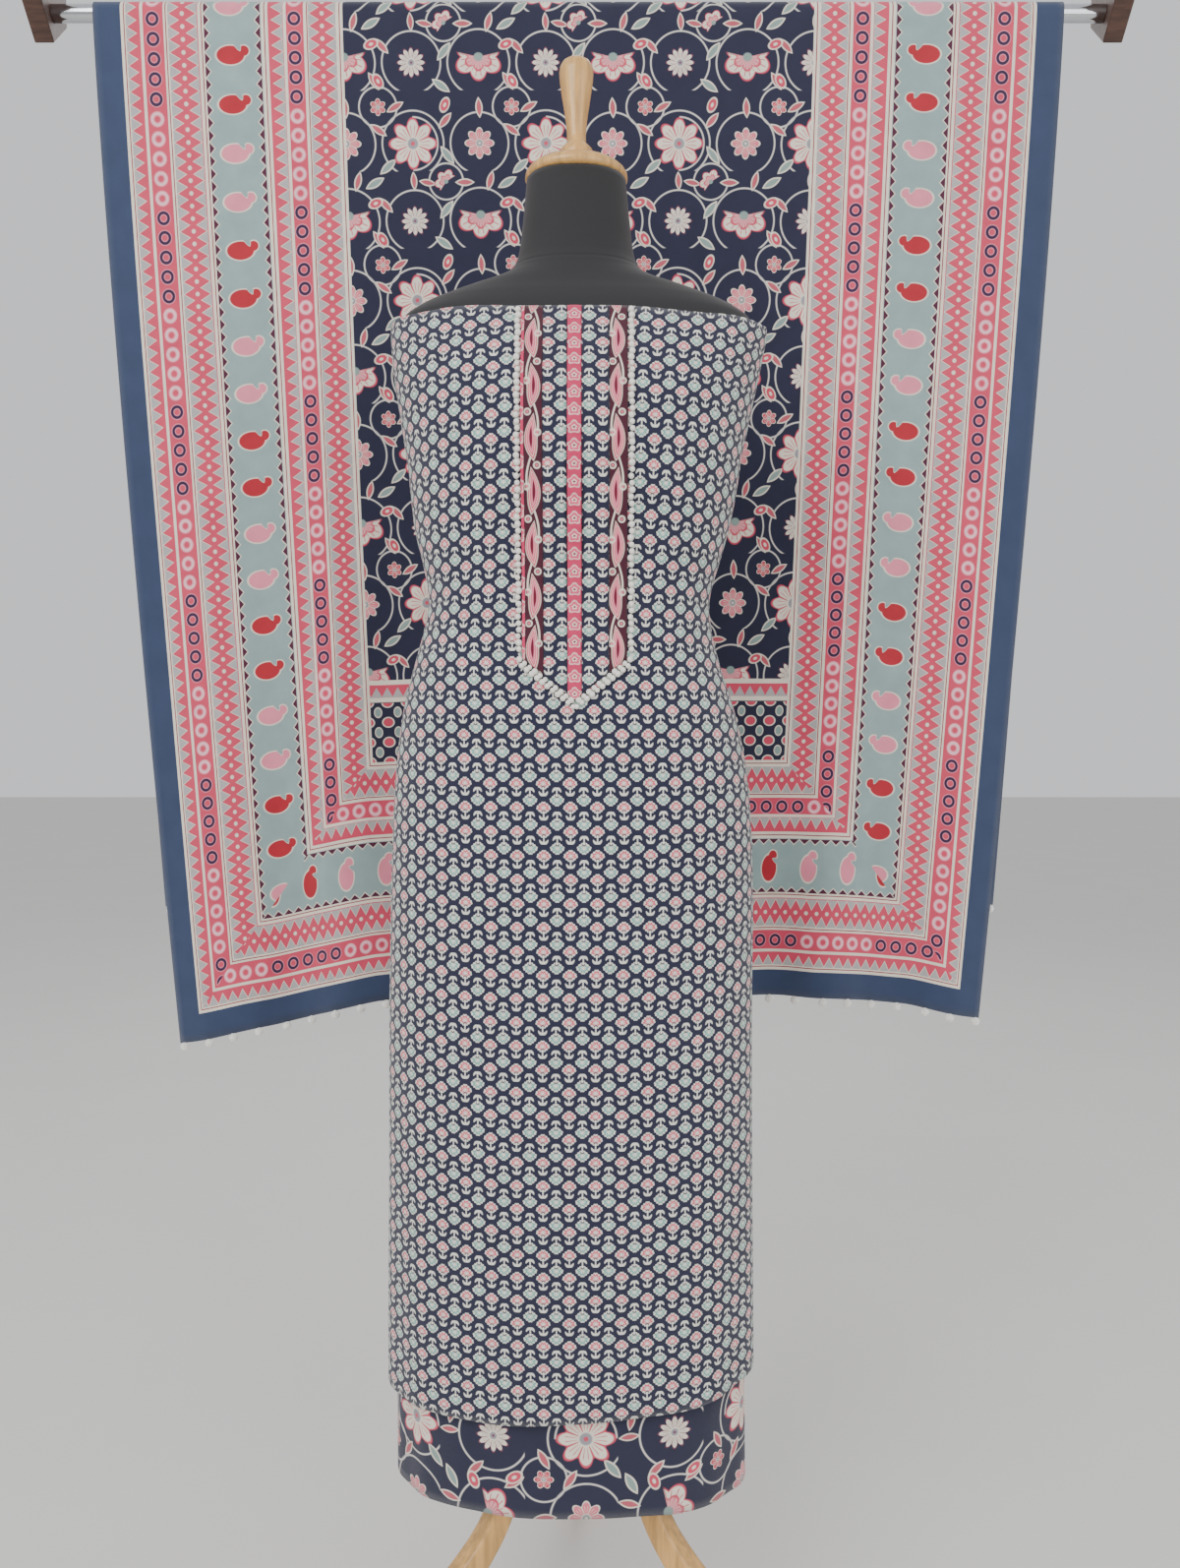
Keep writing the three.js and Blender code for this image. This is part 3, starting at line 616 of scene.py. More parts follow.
def border(dye, wide, along):
    """The printed border, read inwards from the cloth's edge."""
    maroon, red, light = (82, 34, 58), (150, 44, 62), (238, 150, 166)
    bands = [(0.0, NAVY_SELVEDGE), (0.0316, CREAM), (0.0345, red), (0.0356, CREAM),
             (0.0378, BORDER_PINK), (0.0530, CREAM), (0.0566, BORDER_PINK), (0.0802, CREAM),
             (0.0832, red), (0.0843, CREAM), (0.0862, BORDER_PINK), (0.1197, CREAM),
             (0.1232, red), (0.1243, CREAM), (0.1275, SAGE_BAND), (0.1925, CREAM),
             (0.1960, red), (0.1971, CREAM), (0.2015, BORDER_PINK), (0.2185, CREAM),
             (0.2222, BORDER_PINK), (0.2416, CREAM), (0.2450, red), (0.2461, CREAM),
             (0.2482, BORDER_PINK), (0.2800, CREAM), (0.2832, red), (0.2843, CREAM)]
    ramp = dye.tree.nodes.new("ShaderNodeValToRGB")
    ramp.color_ramp.interpolation = "CONSTANT"
    share = wide / BAND_SPAN
    dye.tree.links.new(share.socket, ramp.inputs[0])
    marks = ramp.color_ramp.elements
    marks[0].color = linear(bands[0][1])
    marks[1].position = bands[1][0] / BAND_SPAN
    marks[1].color = linear(bands[1][1])
    for place, colour in bands[2:]:
        marks.new(place / BAND_SPAN).color = linear(colour)
    dye.paint(wide.under(BORDER_WIDE, 0.0002), ramp.outputs[0])

    def teeth(base, tall, pitch, inwards, fill, phase=0.0):
        tooth = (along + phase).zigzag(pitch)
        rise = (wide - base) if inwards else (wide * -1.0 + base)
        dye.paint(rise.under(tooth * tall + 0.0011) * rise.over(0.0, 0.0001), CREAM)
        dye.paint(rise.under(tooth * tall - 0.0003) * rise.over(0.0, 0.0001), fill)

    teeth(0.0378, 0.0115, TOOTH_PITCH, True, TOOTH_GREY)
    teeth(0.2185, 0.0125, TOOTH_PITCH, False, TOOTH_GREY)
    for low, high in ((0.0862, 0.1197), (0.2482, 0.2800)):
        tall = (high - low) * 0.36
        teeth(low, tall, TOOTH_PITCH, True, TOOTH_GREY)
        teeth(high, tall, TOOTH_PITCH, False, TOOTH_GREY)
        dot = dye.reach(wide - (low + high) / 2, along.wrap(TOOTH_PITCH / 2))
        dye.paint(dot.under(0.0024), CREAM)
    teeth(0.1275, 0.0062, TOOTH_PITCH, True, maroon)
    teeth(0.1925, 0.0062, TOOTH_PITCH, False, maroon)

    ring_pitch = 0.0209
    five = (along / (ring_pitch * 10) + 0.05).apply("FRACT").under(0.5, 0.001)
    for middle in (0.0684, 0.2319):
        ring = dye.reach(wide - middle, along.wrap(ring_pitch / 2))
        dye.paint(ring.under(0.0084), light)
        dye.paint(ring.under(0.0076) * five, (58, 40, 70))
        dye.paint(abs(ring - 0.0060).under(0.0011) * (five * -1.0 + 1.0), (246, 200, 206))
        dye.paint(ring.under(0.0042), light)
        dye.paint(ring.under(0.0034), BORDER_PINK)

    paisley_pitch = 0.052
    x = wide - 0.160
    y = along.wrap(paisley_pitch / 2)
    body = dye.reach((x + 0.003) * 0.62, y + 0.0015).larger((y - 0.0075) * 1.2)
    hook = dye.reach((x - 0.0125) * 0.9, y - 0.0030) + 0.0045
    notch = dye.reach((x - 0.0065) * 1.1 + (y - 0.006) * 0.5, (y - 0.0068) * 0.7)
    shape = body.smaller(hook) + (notch * -1.0 + 0.0042).larger(0.0) * 1.6
    two = (along / (paisley_pitch * 4) + 0.125).apply("FRACT").under(0.5, 0.001)
    dye.paint(shape.under(0.0112), CREAM)
    dye.paint(shape.under(0.0099), (232, 138, 156))
    dye.paint(shape.under(0.0099) * two, (178, 44, 56))


dupatta_dye = Dye("dupatta_border_print", NAVY)
jaal(dupatta_dye, dupatta_dye.u + 0.078, dupatta_dye.v * -1.0)
cloth_length = FRONT_LENGTH + BACK_LENGTH + math.pi * CROWN_RADIUS
from_side = abs(dupatta_dye.u) * -1.0 + CLOTH_HALF
from_hem = dupatta_dye.v.smaller(dupatta_dye.v * -1.0 + cloth_length)
panel_high = BORDER_WIDE + PANEL_TALL
in_panel = from_hem.under(panel_high + 0.026, 0.0002) * from_side.over(BORDER_WIDE, 0.0002)
dupatta_dye.paint(in_panel, CREAM)
strip_teeth = dupatta_dye.u.zigzag(TOOTH_PITCH)
dupatta_dye.paint(in_panel * abs(from_hem - (panel_high + 0.013)).under(0.0075), BORDER_PINK)
dupatta_dye.paint(in_panel * from_hem.under(strip_teeth * 0.011 + (panel_high + 0.0065))
                  * from_hem.over(panel_high + 0.0055), TOOTH_GREY)
dupatta_dye.paint(in_panel * from_hem.under(panel_high, 0.0003), NAVY)
in_buds = in_panel * from_hem.under(panel_high - 0.001, 0.0003)
BUD_HALF_ACROSS = 0.0125
BUD_HALF_DOWN = 0.0118
for step, narrow_x, narrow_y, outer, inner, fill in (
        (0, 1.0, 1.25, 0.0080, 0.0064, ROSE), (1, 1.25, 1.0, 0.0064, 0.0050, SAGE)):
    bud_x = (dupatta_dye.u + BUD_HALF_ACROSS * step).wrap(BUD_HALF_ACROSS)
    bud_y = (from_hem - BORDER_WIDE + BUD_HALF_DOWN * step).wrap(BUD_HALF_DOWN)
    bud = dupatta_dye.reach(bud_x * narrow_x, bud_y * narrow_y)
    dupatta_dye.paint(bud.under(outer) * in_buds, CREAM)
    dupatta_dye.paint(bud.under(inner) * in_buds, fill)
nearer_side = from_side.under(from_hem, 0.0001)
edge_in = from_side.smaller(from_hem)
edge_along = dupatta_dye.v * nearer_side + dupatta_dye.u * (nearer_side * -1.0 + 1.0)
border(dupatta_dye, edge_in, edge_along)
dupatta_print = dupatta_dye.weave(sheen=0.3)


def dupatta_rows():
    """The cloth from the front hem, up over the rod and down to the back hem."""
    front_steps, crown_steps, back_steps = 96, 10, 74
    rows = [("front", 1 - i / front_steps) for i in range(front_steps)]
    rows += [("crown", i / crown_steps) for i in range(crown_steps + 1)]
    rows += [("back", (i + 1) / back_steps) for i in range(back_steps)]
    return rows


def make_dupatta():
    columns = 132
    grid, uvs = [], []
    for part, share in dupatta_rows():
        line, across = [], []
        for j in range(columns + 1):
            x = DUPATTA_HALF * (2 * j / columns - 1)
            if part == "crown":
                swing = math.pi * share
                line.append(Vector((pole_x + x, rod_y - CROWN_RADIUS * math.cos(swing),
                                    rod_z + CROWN_RADIUS * math.sin(swing))))
                down = FRONT_LENGTH + CROWN_RADIUS * swing
            elif part == "front":
                line.append(fall_point(True, x, share))
                down = FRONT_LENGTH * (1 - share)
            else:
                line.append(fall_point(False, x, share))
                down = FRONT_LENGTH + math.pi * CROWN_RADIUS + BACK_LENGTH * share
            across.append((x / DUPATTA_HALF * CLOTH_HALF, down))
        grid.append(line)
        uvs.append(across)
    grid.reverse()
    uvs.reverse()
    return cloth_mesh("dupatta", grid, uvs, DUPATTA_WALL)


dupatta = make_dupatta()
fit(dupatta, "dupatta_print", dupatta_print, "dupatta_front", "dupatta_crown", "dupatta_back")


# ---- Yoke: two paisley strips, two strips of the small print and a gathered pink placket,
# sewn side by side on the kameez's front and cut to a V below.
YOKE_LEFT, YOKE_RIGHT = -0.0485, 0.0470
YOKE_CORNER, YOKE_TIP, YOKE_TIP_X = 1.027, 0.989, -0.0005
STRIP_WALL = 0.0007
GATHER_FULLNESS = 1.35


def v_height(x):
    """The height of the yoke's lower edge, cut to a V."""
    edge = YOKE_LEFT if x < YOKE_TIP_X else YOKE_RIGHT
    return YOKE_TIP + (YOKE_CORNER - YOKE_TIP) * abs((x - YOKE_TIP_X) / (edge - YOKE_TIP_X))


def on_front(x, height, raise_by):
    """A point of the kameez's front at this x, raised off the cloth."""
    half, centre = smooth_read(BODY, height, 1), smooth_read(BODY, height, 2)
    ratio = min(1.0, abs(x - centre) / half)
    angle = math.copysign(math.asin(ratio ** (SECTION_POWER / 2)), x - centre)
    return body_point(angle, height, -raise_by)


def yoke_strip(name, left, right, raise_by, columns=6, rows=90, gathers=0.0):
    """A strip laid on the kameez's front, from its top edge down to the V."""
    grid, uvs = [], []
    rng = random.Random(11)
    waves = [(rng.uniform(0.008, 0.021), rng.uniform(0, 6), rng.uniform(-1, 1)) for _ in range(6)]
    for i in range(rows + 1):
        line, across = [], []
        for j in range(columns + 1):
            x = left + (right - left) * j / columns
            top = kameez_top(0.0) - 0.0004
            height = top + (v_height(x) - top) * i / rows
            lift = raise_by
            if gathers:
                held = hump(height - 1.150, 0.13)
                for pitch, phase, tilt in waves:
                    lift += gathers * held * (1 + math.sin(
                        math.tau * height / pitch + phase + tilt * (x - left) * 260)) / 6
                lift += gathers * 0.5 * math.sin(math.pi * j / columns)
            line.append(on_front(x, height, lift))
            across.append((x, -cloth_down(height) * (GATHER_FULLNESS if gathers else 1.0)))
        grid.append(line)
        uvs.append(across)
    return cloth_mesh(name, grid, uvs, STRIP_WALL)


paisley_dye = Dye("yoke_paisley_print", (74, 30, 46))
strip_u = abs(paisley_dye.u + 0.00035) - 0.0372
climb = paisley_dye.v
vine = (climb * (math.tau / 0.092)).cosine() * 0.0052
paisley_dye.paint(abs(strip_u - vine).under(0.0008), CREAM)
for phase, side in ((0.0, 1.0), (0.046, -1.0)):
    across = strip_u * side + 0.0012
    up = (climb + phase + 0.010).wrap(0.046)
    bend = across - up * up * 6.0
    leaf = (abs(bend) / 0.0062) * (up * 14.0 + 1.1) + (abs(up) / 0.0205).power(2.0)
    paisley_dye.paint(leaf.under(1.0, 0.08), CREAM)
    paisley_dye.paint(leaf.under(0.88, 0.06), (216, 66, 100))
    paisley_dye.paint(abs(leaf - 0.66).under(0.05, 0.03), (246, 214, 206))
    paisley_dye.paint(leaf.under(0.50, 0.05), (236, 138, 156))
    paisley_dye.paint(leaf.under(0.24, 0.05), (110, 26, 50))
for offset, side in ((0.034, 0.0042), (0.052, -0.0046), (0.080, -0.0040), (0.006, 0.0050)):
    curl = paisley_dye.reach(strip_u - side, (climb + offset).wrap(0.046))
    paisley_dye.paint(abs(curl - 0.0026).under(0.0007), CREAM)
    paisley_dye.paint(curl.under(0.0012), (226, 120, 136))
paisley_print = paisley_dye.weave()

placket_dye = Dye("yoke_placket_print", (204, 62, 98))
placket_x = (placket_dye.u + 0.0008).wrap(0.0062)
placket_y = placket_dye.v.wrap(0.0105)
placket_turn = placket_x.apply("ARCTAN2", placket_y)
placket_lobes = (placket_turn * 5).cosine() * 0.15 + 1
placket_bloom = placket_dye.reach(placket_x, placket_y * 0.8) / placket_lobes
placket_dye.paint(placket_bloom.under(0.0058), (238, 200, 196))
placket_dye.paint(placket_bloom.under(0.0046), (226, 96, 124))
placket_dye.paint(placket_bloom.under(0.0022), (250, 226, 214))
placket_dye.paint(placket_bloom.under(0.0011), (120, 26, 60))
placket_print = placket_dye.weave()

strips = [
    ("piping_left", -0.0478, -0.0452, 0.0016, "placket_print", placket_print, "piping_left"),
    ("paisley_left", -0.0449, -0.0289, 0.0011, "paisley_print", paisley_print, "paisley_left"),
    ("print_left", -0.0286, -0.0074, 0.0011, "yoke_print", kameez_print, "panel_left"),
    ("print_right", 0.0057, 0.0299, 0.0011, "yoke_print", kameez_print, "panel_right"),
    ("paisley_right", 0.0302, 0.0462, 0.0011, "paisley_print", paisley_print, "paisley_right"),
]
for name, left, right, raise_by, slot, material, node in strips:
    fit(yoke_strip("yoke_" + name, left, right, raise_by), slot, material, "yoke_" + node)
placket = yoke_strip("yoke_gathered_placket", -0.0071, 0.0054, 0.0012, 10, 220, 0.0016)
fit(placket, "placket_print", placket_print, "yoke_placket")


# ---- Bead edging: small round white beads threaded down both sides of the yoke and round
# its V, doubled round the V, each sewn down on its own.
def plain_material(name, colour, roughness, grain, metallic=0.0, coat=0.0, stretch=(1, 1, 1)):
    """One colour with a soft change of tone and a fine relief: grain is scale, tone, depth."""
    grain_scale, spread, relief = grain
    material = bpy.data.materials.new(name)
    material.use_nodes = True
    nodes, links = material.node_tree.nodes, material.node_tree.links
    surface = nodes["Principled BSDF"]
    surface.inputs["Roughness"].default_value = roughness
    surface.inputs["Metallic"].default_value = metallic
    surface.inputs["Coat Weight"].default_value = coat
    place = nodes.new("ShaderNodeTexCoord")
    turn = nodes.new("ShaderNodeMapping")
    turn.inputs["Scale"].default_value = stretch
    links.new(place.outputs["Object"], turn.inputs[0])
    noise = nodes.new("ShaderNodeTexNoise")
    noise.inputs["Scale"].default_value = grain_scale
    noise.inputs["Detail"].default_value = 6.0
    links.new(turn.outputs[0], noise.inputs["Vector"])
    ramp = nodes.new("ShaderNodeValToRGB")
    base = linear(colour)
    for mark, factor in zip(ramp.color_ramp.elements, (1 - spread, 1 + spread)):
        mark.color = (*[min(1.0, c * factor) for c in base[:3]], 1.0)
    ramp.color_ramp.elements[0].position = 0.35
    ramp.color_ramp.elements[1].position = 0.65
    links.new(noise.outputs[0], ramp.inputs[0])
    links.new(ramp.outputs[0], surface.inputs["Base Color"])
    bump = nodes.new("ShaderNodeBump")
    bump.inputs["Strength"].default_value = 0.35
    bump.inputs["Distance"].default_value = relief
    links.new(noise.outputs[0], bump.inputs["Height"])
    links.new(bump.outputs[0], surface.inputs["Normal"])
    return material


bead_white = plain_material("bead_white", (236, 233, 224), 0.28, (900.0, 0.05, 0.00005), coat=0.4)


def string_of_beads(name, places, node, radius=0.0029):
    """Beads made once as a ball, then copied to each place and joined."""
    bpy.ops.object.select_all(action="DESELECT")
    bpy.ops.mesh.primitive_uv_sphere_add(segments=10, ring_count=7, radius=radius)
    pattern = bpy.context.object
    ball = pattern.data
    corners = [vertex.co.copy() for vertex in ball.vertices]
    sides = [tuple(face.vertices) for face in ball.polygons]
    rng = random.Random(len(places))
    vertices, faces = [], []
    for place in places:
        start = len(vertices)
        size = rng.uniform(0.86, 1.1)
        vertices += [place + corner * size for corner in corners]
        faces += [tuple(start + k for k in side) for side in sides]
    bpy.data.objects.remove(pattern)
    piece = new_piece(name, vertices, faces)
    piece.data.polygons.foreach_set("use_smooth", [True] * len(piece.data.polygons))
    fit(piece, "beads", bead_white, node)


BEAD_PITCH = 0.0058
for name, x, node in (("beads_left", YOKE_LEFT - 0.0026, "bead_trim_left"),
                      ("beads_right", YOKE_RIGHT + 0.0026, "bead_trim_right")):
    count = int((kameez_top(0.0) - YOKE_CORNER - 0.003) / BEAD_PITCH)
    string_of_beads(name, [
        on_front(x + 0.0006 * math.sin(k * 2.1), kameez_top(0.0) - 0.004 - k * BEAD_PITCH, 0.0016)
        for k in range(count)], node)
for name, edge, node in (("beads_v_left", YOKE_LEFT - 0.003, "bead_trim_v_left"),
                         ("beads_v_right", YOKE_RIGHT + 0.003, "bead_trim_v_right")):
    places = []
    for row in (0, 1):
        for k in range(11):
            x = edge + (YOKE_TIP_X - edge) * (k + 0.25 + row * 0.4) / 11
            places.append(on_front(x, v_height(x) - 0.003 - row * 0.0044, 0.0016))
    string_of_beads(name, places, node, 0.0027)


# ---- Pompoms: little balls of cut white thread, sewn to both hems of the dupatta, with
# about 34 mm between one and the next.
pompom_white = plain_material("pompom_thread", (238, 237, 230), 0.95, (1400.0, 0.16, 0.0006))
pompom_white.node_tree.nodes["Principled BSDF"].inputs["Sheen Weight"].default_value = 0.4
POMPOM_RADIUS = 0.0050
POMPOM_PITCH = 0.034


def pompoms(name, front, node):
    """A row of pompoms along one hem, each a ball with its surface roughened."""
    bpy.ops.object.select_all(action="DESELECT")
    bpy.ops.mesh.primitive_ico_sphere_add(subdivisions=4, radius=POMPOM_RADIUS)
    pattern = bpy.context.object
    corners = [vertex.co.copy() for vertex in pattern.data.vertices]
    sides = [tuple(face.vertices) for face in pattern.data.polygons]
    bpy.data.objects.remove(pattern)
    rng = random.Random(5 if front else 6)
    count = int(2 * DUPATTA_HALF / POMPOM_PITCH)
    vertices, faces = [], []
    for k in range(count + 1):
        x = -DUPATTA_HALF + 0.006 + (2 * DUPATTA_HALF - 0.012) * k / count
        x += rng.uniform(-0.002, 0.002)
        place = fall_point(front, x, 1.0) - Vector((0, 0, POMPOM_RADIUS * 0.9))
        start = len(vertices)
        for corner in corners:
            tuft = 1.0 + rng.uniform(-0.16, 0.10)
            vertices.append(place + corner * tuft)
        faces += [tuple(start + i for i in side) for side in sides]
    fit(new_piece(name, vertices, faces), "pompom", pompom_white, node)


pompoms("pompoms_front_hem", True, "pompom_fringe_front")
pompoms("pompoms_back_hem", False, "pompom_fringe_back")


# ---- Dress form: a padded torso with a neck, covered in stretched black jersey that is
# seamed round the base of the neck.
SHOULDERS = [  # height, half width, centre, front, back
    (1.4810, 0.0475, 0, 0.045, 0.045), (1.4400, 0.0515, 0, 0.048, 0.050),
    (1.4060, 0.0570, 0, 0.052, 0.054), (1.3920, 0.0670, 0, 0.056, 0.060),
    (1.3840, 0.0840, 0, 0.059, 0.065), (1.3770, 0.1080, 0, 0.062, 0.069),
    (1.3690, 0.1320, 0, 0.066, 0.074), (1.3610, 0.1510, 0, 0.071, 0.078),
    (1.3490, 0.1670, 0, 0.077, 0.082), (1.3050, 0.1710, 0, 0.095, 0.090),
]
NECK_SEAM = 1.396
CLOTH_TOP_LINE = 1.305


def form_surface(height, angle):
    """A point of the jersey: on the shoulders' own table above, inside the cloth below."""
    if height > CLOTH_TOP_LINE:
        sizes = [smooth_read(SHOULDERS, height, column) for column in (1, 2, 3, 4)]
        inset = 0.0006 * hump(height - NECK_SEAM, 0.0016)
    else:
        sizes = [smooth_read(BODY, height, column) for column in (1, 2, 3, 4)]
        inset = 0.005 + 0.007 * min(1.0, max(0.0, (0.95 - height) / 0.1))
    x, y = oval_point(*sizes, angle, inset)
    return Vector((x, y, height))


def make_form():
    columns = 112
    heights = [1.481 - 0.0045 * i for i in range(16)]
    heights += [1.4075 - 0.0011 * i for i in range(60)]
    heights += [1.340 - 0.018 * i for i in range(35)] + [0.72]
    grid = [[form_surface(height, math.tau * j / columns) for j in range(columns)]
            for height in heights]
    uvs = [[(0.9 * j / columns, height) for j in range(columns)] for height in heights]
    piece = cloth_mesh("form_body", grid, uvs, 0, closed=True)
    bpy.ops.object.select_all(action="DESELECT")
    bpy.context.view_layer.objects.active = piece
    piece.select_set(True)
    bpy.ops.object.mode_set(mode="EDIT")
    bpy.ops.mesh.select_all(action="SELECT")
    bpy.ops.mesh.region_to_loop()
    bpy.ops.mesh.fill_holes(sides=0)
    bpy.ops.mesh.select_all(action="SELECT")
    bpy.ops.mesh.normals_make_consistent(inside=False)
    bpy.ops.object.mode_set(mode="OBJECT")
    return piece


jersey = plain_material("black_jersey", (30, 30, 32), 0.82, (2600.0, 0.25, 0.0002))
jersey.node_tree.nodes["Principled BSDF"].inputs["Sheen Weight"].default_value = 0.15
fit(make_form(), "jersey", jersey, "form_torso")


# ---- Neck cap and handle: turned from pale wood and lacquered, screwed to the top of the
# neck. The hub that holds the legs is turned from the same wood.
maple = plain_material("pale_lacquered_wood", (208, 160, 92), 0.38, (26.0, 0.22, 0.0002),
                       coat=0.35, stretch=(6, 6, 0.7))
TURNED_FACETS = 64


def turned(name, node, slot, material, rows):
    """A turned piece: a disc, drawn up ring by ring and scaled to each row's radius."""
    radius, height = rows[0]
    bpy.ops.object.select_all(action="DESELECT")
    bpy.ops.mesh.primitive_circle_add(vertices=TURNED_FACETS, radius=radius, fill_type="NGON",
                                      location=(pole_x, pole_y, height))
    piece = bpy.context.object
    piece.name = name
    bpy.ops.object.mode_set(mode="EDIT")
    for next_radius, next_height in rows[1:]:
        bpy.ops.mesh.extrude_region_move(
            TRANSFORM_OT_translate={"value": (0, 0, next_height - height)})
        scale = next_radius / radius
        bpy.ops.transform.resize(value=(scale, scale, 1),
                                 center_override=(pole_x, pole_y, next_height))
        radius, height = next_radius, next_height
    bpy.ops.mesh.select_all(action="SELECT")
    bpy.ops.mesh.normals_make_consistent(inside=False)
    bpy.ops.object.mode_set(mode="OBJECT")
    bpy.ops.object.transform_apply(location=True, rotation=True, scale=True)
    bpy.ops.object.shade_smooth_by_angle(angle=math.radians(50))
    fit(piece, slot, material, node)


cap_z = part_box("form_neck_cap")[0].z
turned("neck_cap", "form_neck_cap", "maple", maple, [
    (0.0440, cap_z), (0.0475, cap_z + 0.0012), (0.0490, cap_z + 0.0040), (0.0488, cap_z + 0.0070),
    (0.0470, cap_z + 0.0100), (0.0430, cap_z + 0.0132), (0.0360, cap_z + 0.0162),
    (0.0260, cap_z + 0.0188), (0.0150, cap_z + 0.0203), (0.0100, cap_z + 0.0205)])
handle_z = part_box("form_handle")[0].z
turned("turned_handle", "form_handle", "maple", maple, [
    (0.0130, handle_z), (0.0152, handle_z + 0.002), (0.0160, handle_z + 0.006),
    (0.0152, handle_z + 0.011), (0.0120, handle_z + 0.0145), (0.0093, handle_z + 0.017),
    (0.0090, handle_z + 0.024), (0.0100, handle_z + 0.036), (0.0120, handle_z + 0.050),
    (0.0142, handle_z + 0.063), (0.0158, handle_z + 0.074), (0.0163, handle_z + 0.082),
    (0.0156, handle_z + 0.087), (0.0134, handle_z + 0.091), (0.0095, handle_z + 0.0938),
    (0.0040, handle_z + 0.0949)])
hub_low, hub_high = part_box("form_hub")
turned("leg_hub", "form_hub", "maple", maple, [
    (0.0235, hub_low.z), (0.0280, hub_low.z + 0.0025), (0.0300, hub_low.z + 0.0070),
    (0.0300, hub_high.z - 0.009), (0.0280, hub_high.z - 0.004), (0.0210, hub_high.z)])


# ---- Pole: a plain steel tube between the hub and the torso.
steel = plain_material("plain_steel", (150, 152, 156), 0.34, (300.0, 0.06, 0.00003), 1.0,
                       stretch=(1, 1, 0.05))
turned("centre_pole", "form_pole", "steel", steel, [
    (0.0132, pole_low.z), (0.0140, pole_low.z + 0.0008), (0.0140, pole_high.z - 0.0008),
    (0.0132, pole_high.z)])


# ---- Legs: three curved boards of the same pale wood, sawn to shape and rounded along
# their edges, let into the hub.
UPPER_EDGE = [(0.0303, 0.330), (0.066, 0.284), (0.084, 0.228), (0.105, 0.184), (0.129, 0.156),
              (0.158, 0.131), (0.202, 0.094), (0.243, 0.048), (0.268, 0.0)]
LOWER_EDGE = [(0.234, 0.0), (0.207, 0.042), (0.166, 0.084), (0.126, 0.119), (0.099, 0.150),
              (0.0797, 0.181), (0.060, 0.232), (0.0303, 0.268)]
LEG_THICKNESS = 0.022


def curve_through(points, steps):
    """Points evenly spread on a smooth line through the given ones."""
    result = []
    last = len(points) - 1
    for k in range(steps + 1):
        place = min(last * k / steps, last - 1e-9)
        i = int(place)
        t = place - i
        p = [points[max(0, i - 1)], points[i], points[i + 1], points[min(last, i + 2)]]
        result.append(tuple(
            0.5 * (2 * p[1][c] + (p[2][c] - p[0][c]) * t
                   + (2 * p[0][c] - 5 * p[1][c] + 4 * p[2][c] - p[3][c]) * t * t
                   + (3 * p[1][c] - p[0][c] - 3 * p[2][c] + p[3][c]) * t**3) for c in (0, 1)))
    return result


def make_leg(node, azimuth):
    upper, lower = curve_through(UPPER_EDGE, 28), curve_through(LOWER_EDGE, 28)
    lower.reverse()
    out = Vector((math.cos(azimuth), math.sin(azimuth), 0))
    side = Vector((-math.sin(azimuth), math.cos(azimuth), 0))
    pole = Vector((pole_x, pole_y, 0))
    vertices, faces = [], []
    for near, far in zip(upper, lower):
        for (reach, height), across in ((near, -1), (near, 1), (far, 1), (far, -1)):
            vertices.append(pole + out * reach + side * across * LEG_THICKNESS / 2
                            + Vector((0, 0, max(0.0, height))))
    for i in range(len(upper) - 1):
        for k in range(4):
            a, b = i * 4 + k, i * 4 + (k + 1) % 4
            faces.append((a, b, b + 4, a + 4))
    faces.append((3, 2, 1, 0))
    end = len(vertices) - 4
    faces.append((end, end + 1, end + 2, end + 3))
    piece = new_piece("curved_" + node, vertices, faces)
    rounding = piece.modifiers.new("rounding", "BEVEL")
    rounding.width = 0.0035
    rounding.segments = 3
    rounding.limit_method = "ANGLE"
    rounding.angle_limit = math.radians(40)
    apply_modifiers(piece)
    bpy.context.view_layer.objects.active = piece
    piece.select_set(True)
    bpy.ops.object.mode_set(mode="EDIT")
    bpy.ops.mesh.select_all(action="SELECT")
    bpy.ops.mesh.normals_make_consistent(inside=False)
    bpy.ops.object.mode_set(mode="OBJECT")
    bpy.ops.object.shade_smooth_by_angle(angle=math.radians(35))
    fit(piece, "maple", maple, node)


for node, azimuth in (("leg_left", -150), ("leg_right", -30), ("leg_back", 90)):
    make_leg(node, math.radians(azimuth))


# ---- Rod and end plates: a chromed wardrobe tube between two dark stained blocks.
chrome = plain_material("chromed_tube", (206, 208, 212), 0.12, (200.0, 0.03, 0.00001), 1.0)
bpy.ops.object.select_all(action="DESELECT")
bpy.ops.mesh.primitive_cylinder_add(vertices=64, radius=ROD_RADIUS, depth=rod_high.x - rod_low.x,
                                    location=((rod_low.x + rod_high.x) / 2, rod_y, rod_z),
                                    rotation=(0, math.pi / 2, 0))
rod = bpy.context.object
rod.name = "rod_tube"
bpy.ops.object.transform_apply(location=True, rotation=True, scale=True)
rod_edge = rod.modifiers.new("edge", "BEVEL")
rod_edge.width = 0.0008
rod_edge.segments = 2
apply_modifiers(rod)
rod.select_set(True)
bpy.ops.object.shade_smooth_by_angle(angle=math.radians(40))
fit(rod, "chrome", chrome, "rod")

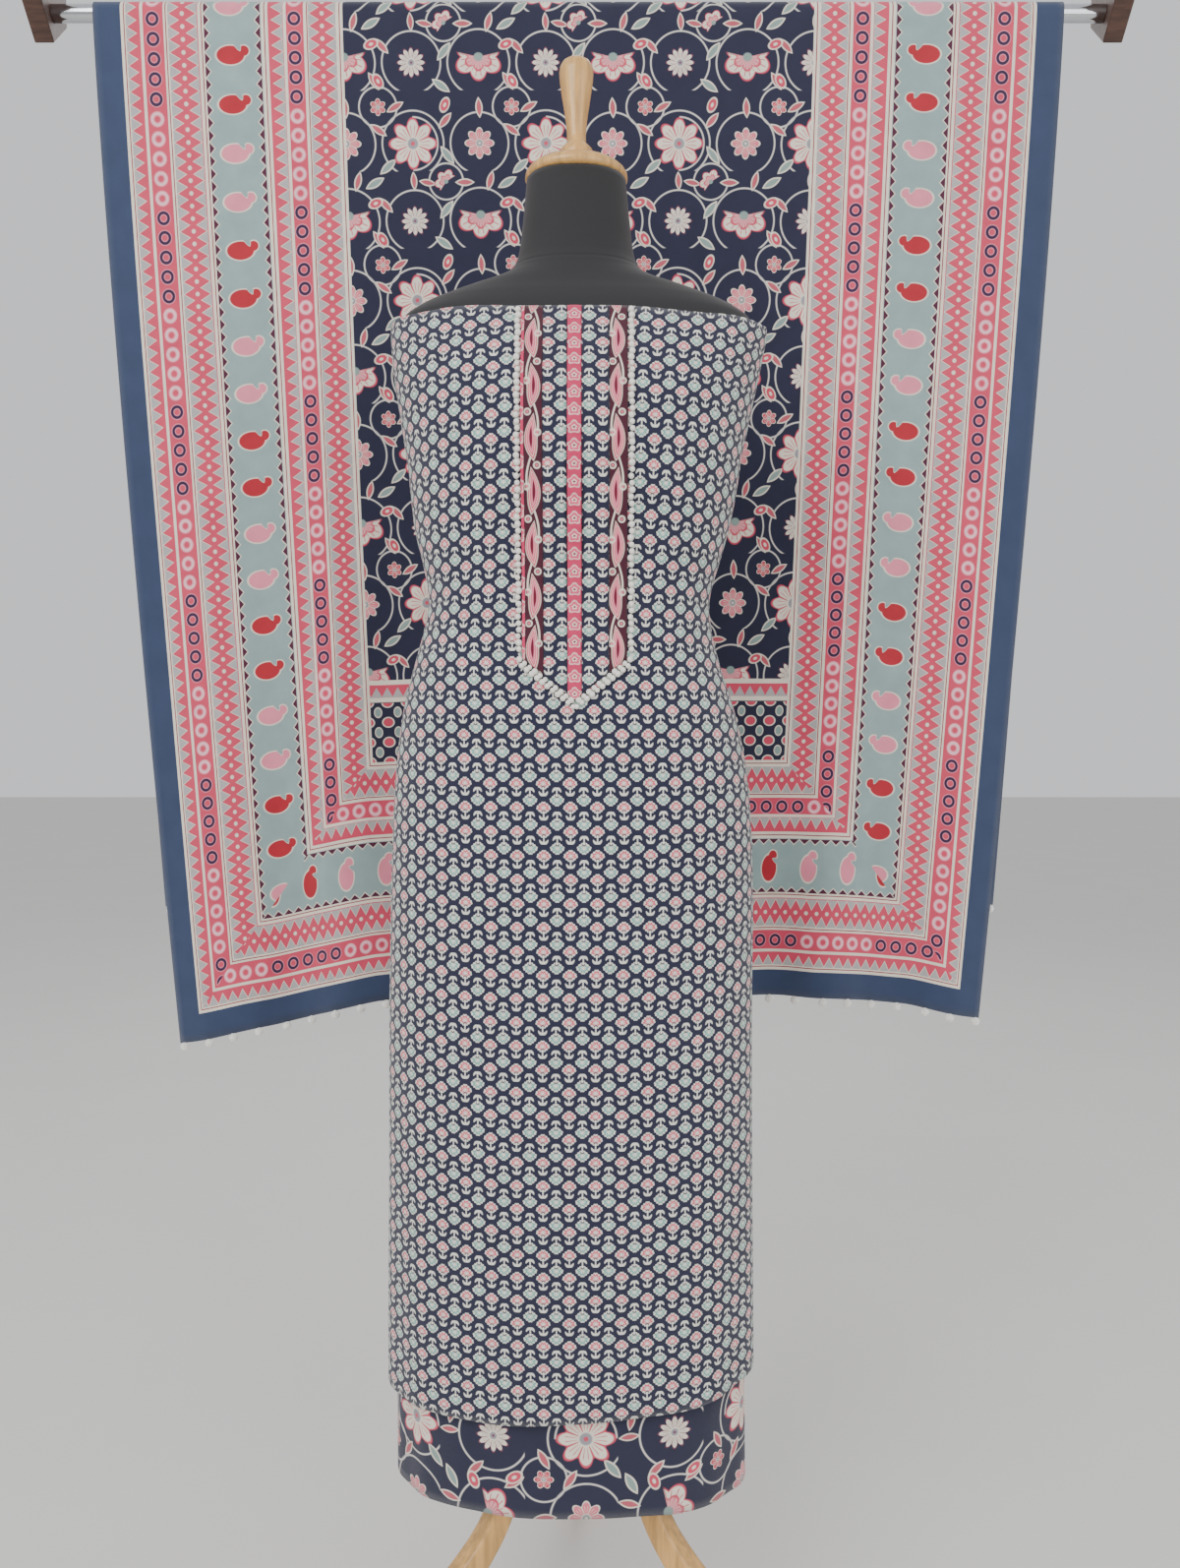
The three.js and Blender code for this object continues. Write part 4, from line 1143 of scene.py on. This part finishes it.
dark_wood = plain_material("dark_stained_wood", (74, 50, 40), 0.5, (40.0, 0.3, 0.0002),
                           stretch=(1, 8, 1))
for node in ("rod_plate_left", "rod_plate_right"):
    low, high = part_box(node)
    size = high - low
    bpy.ops.object.select_all(action="DESELECT")
    bpy.ops.mesh.primitive_cube_add(size=1.0, location=(low + high) / 2)
    plate = bpy.context.object
    plate.name = "block_" + node
    plate.scale = size
    bpy.ops.object.transform_apply(location=True, rotation=True, scale=True)
    bpy.ops.object.mode_set(mode="EDIT")
    for direction in (-1, 1):
        bpy.ops.mesh.select_all(action="SELECT")
        corner = Vector(((low.x + high.x) / 2, rod_y + direction * size.y / 2, rod_z + 0.004))
        bpy.ops.mesh.bisect(plane_co=corner, plane_no=(0, direction * 38, -24), clear_outer=True,
                            use_fill=True)
    bpy.ops.object.mode_set(mode="OBJECT")
    edge = plate.modifiers.new("edge", "BEVEL")
    edge.width = 0.0015
    edge.segments = 2
    apply_modifiers(plate)
    fit(plate, "dark_wood", dark_wood, node)


# ---- Studio: a pale floor, an even pale sky and soft light from the front, the side and above
# the back.
studio_pale = plain_material("studio_pale", (214, 212, 208), 0.9, (3.0, 0.01, 0.00001))
bpy.ops.object.select_all(action="DESELECT")
bpy.ops.mesh.primitive_plane_add(size=24, location=(0, 0, -0.0005))
floor = bpy.context.object
floor.name = "studio_floor"
floor.data.materials.append(studio_pale)

world = bpy.data.worlds.new("studio")
world.use_nodes = True
world.node_tree.nodes["Background"].inputs[0].default_value = (0.86, 0.87, 0.9, 1)
world.node_tree.nodes["Background"].inputs[1].default_value = 0.9
bpy.context.scene.world = world
for name, place, size, power in (("key", (-1.6, -2.6, 2.6), 2.2, 80),
                                 ("fill", (2.0, -2.4, 1.6), 2.4, 34),
                                 ("rim", (0.4, 2.4, 2.8), 1.8, 30)):
    lamp = bpy.data.lights.new(name, "AREA")
    lamp.size = size
    lamp.energy = power
    light = bpy.data.objects.new(name, lamp)
    light.location = place
    light.rotation_euler = (Vector((0, 0, 0.9)) - Vector(place)).to_track_quat("-Z", "Y").to_euler()
    bpy.context.scene.collection.objects.link(light)
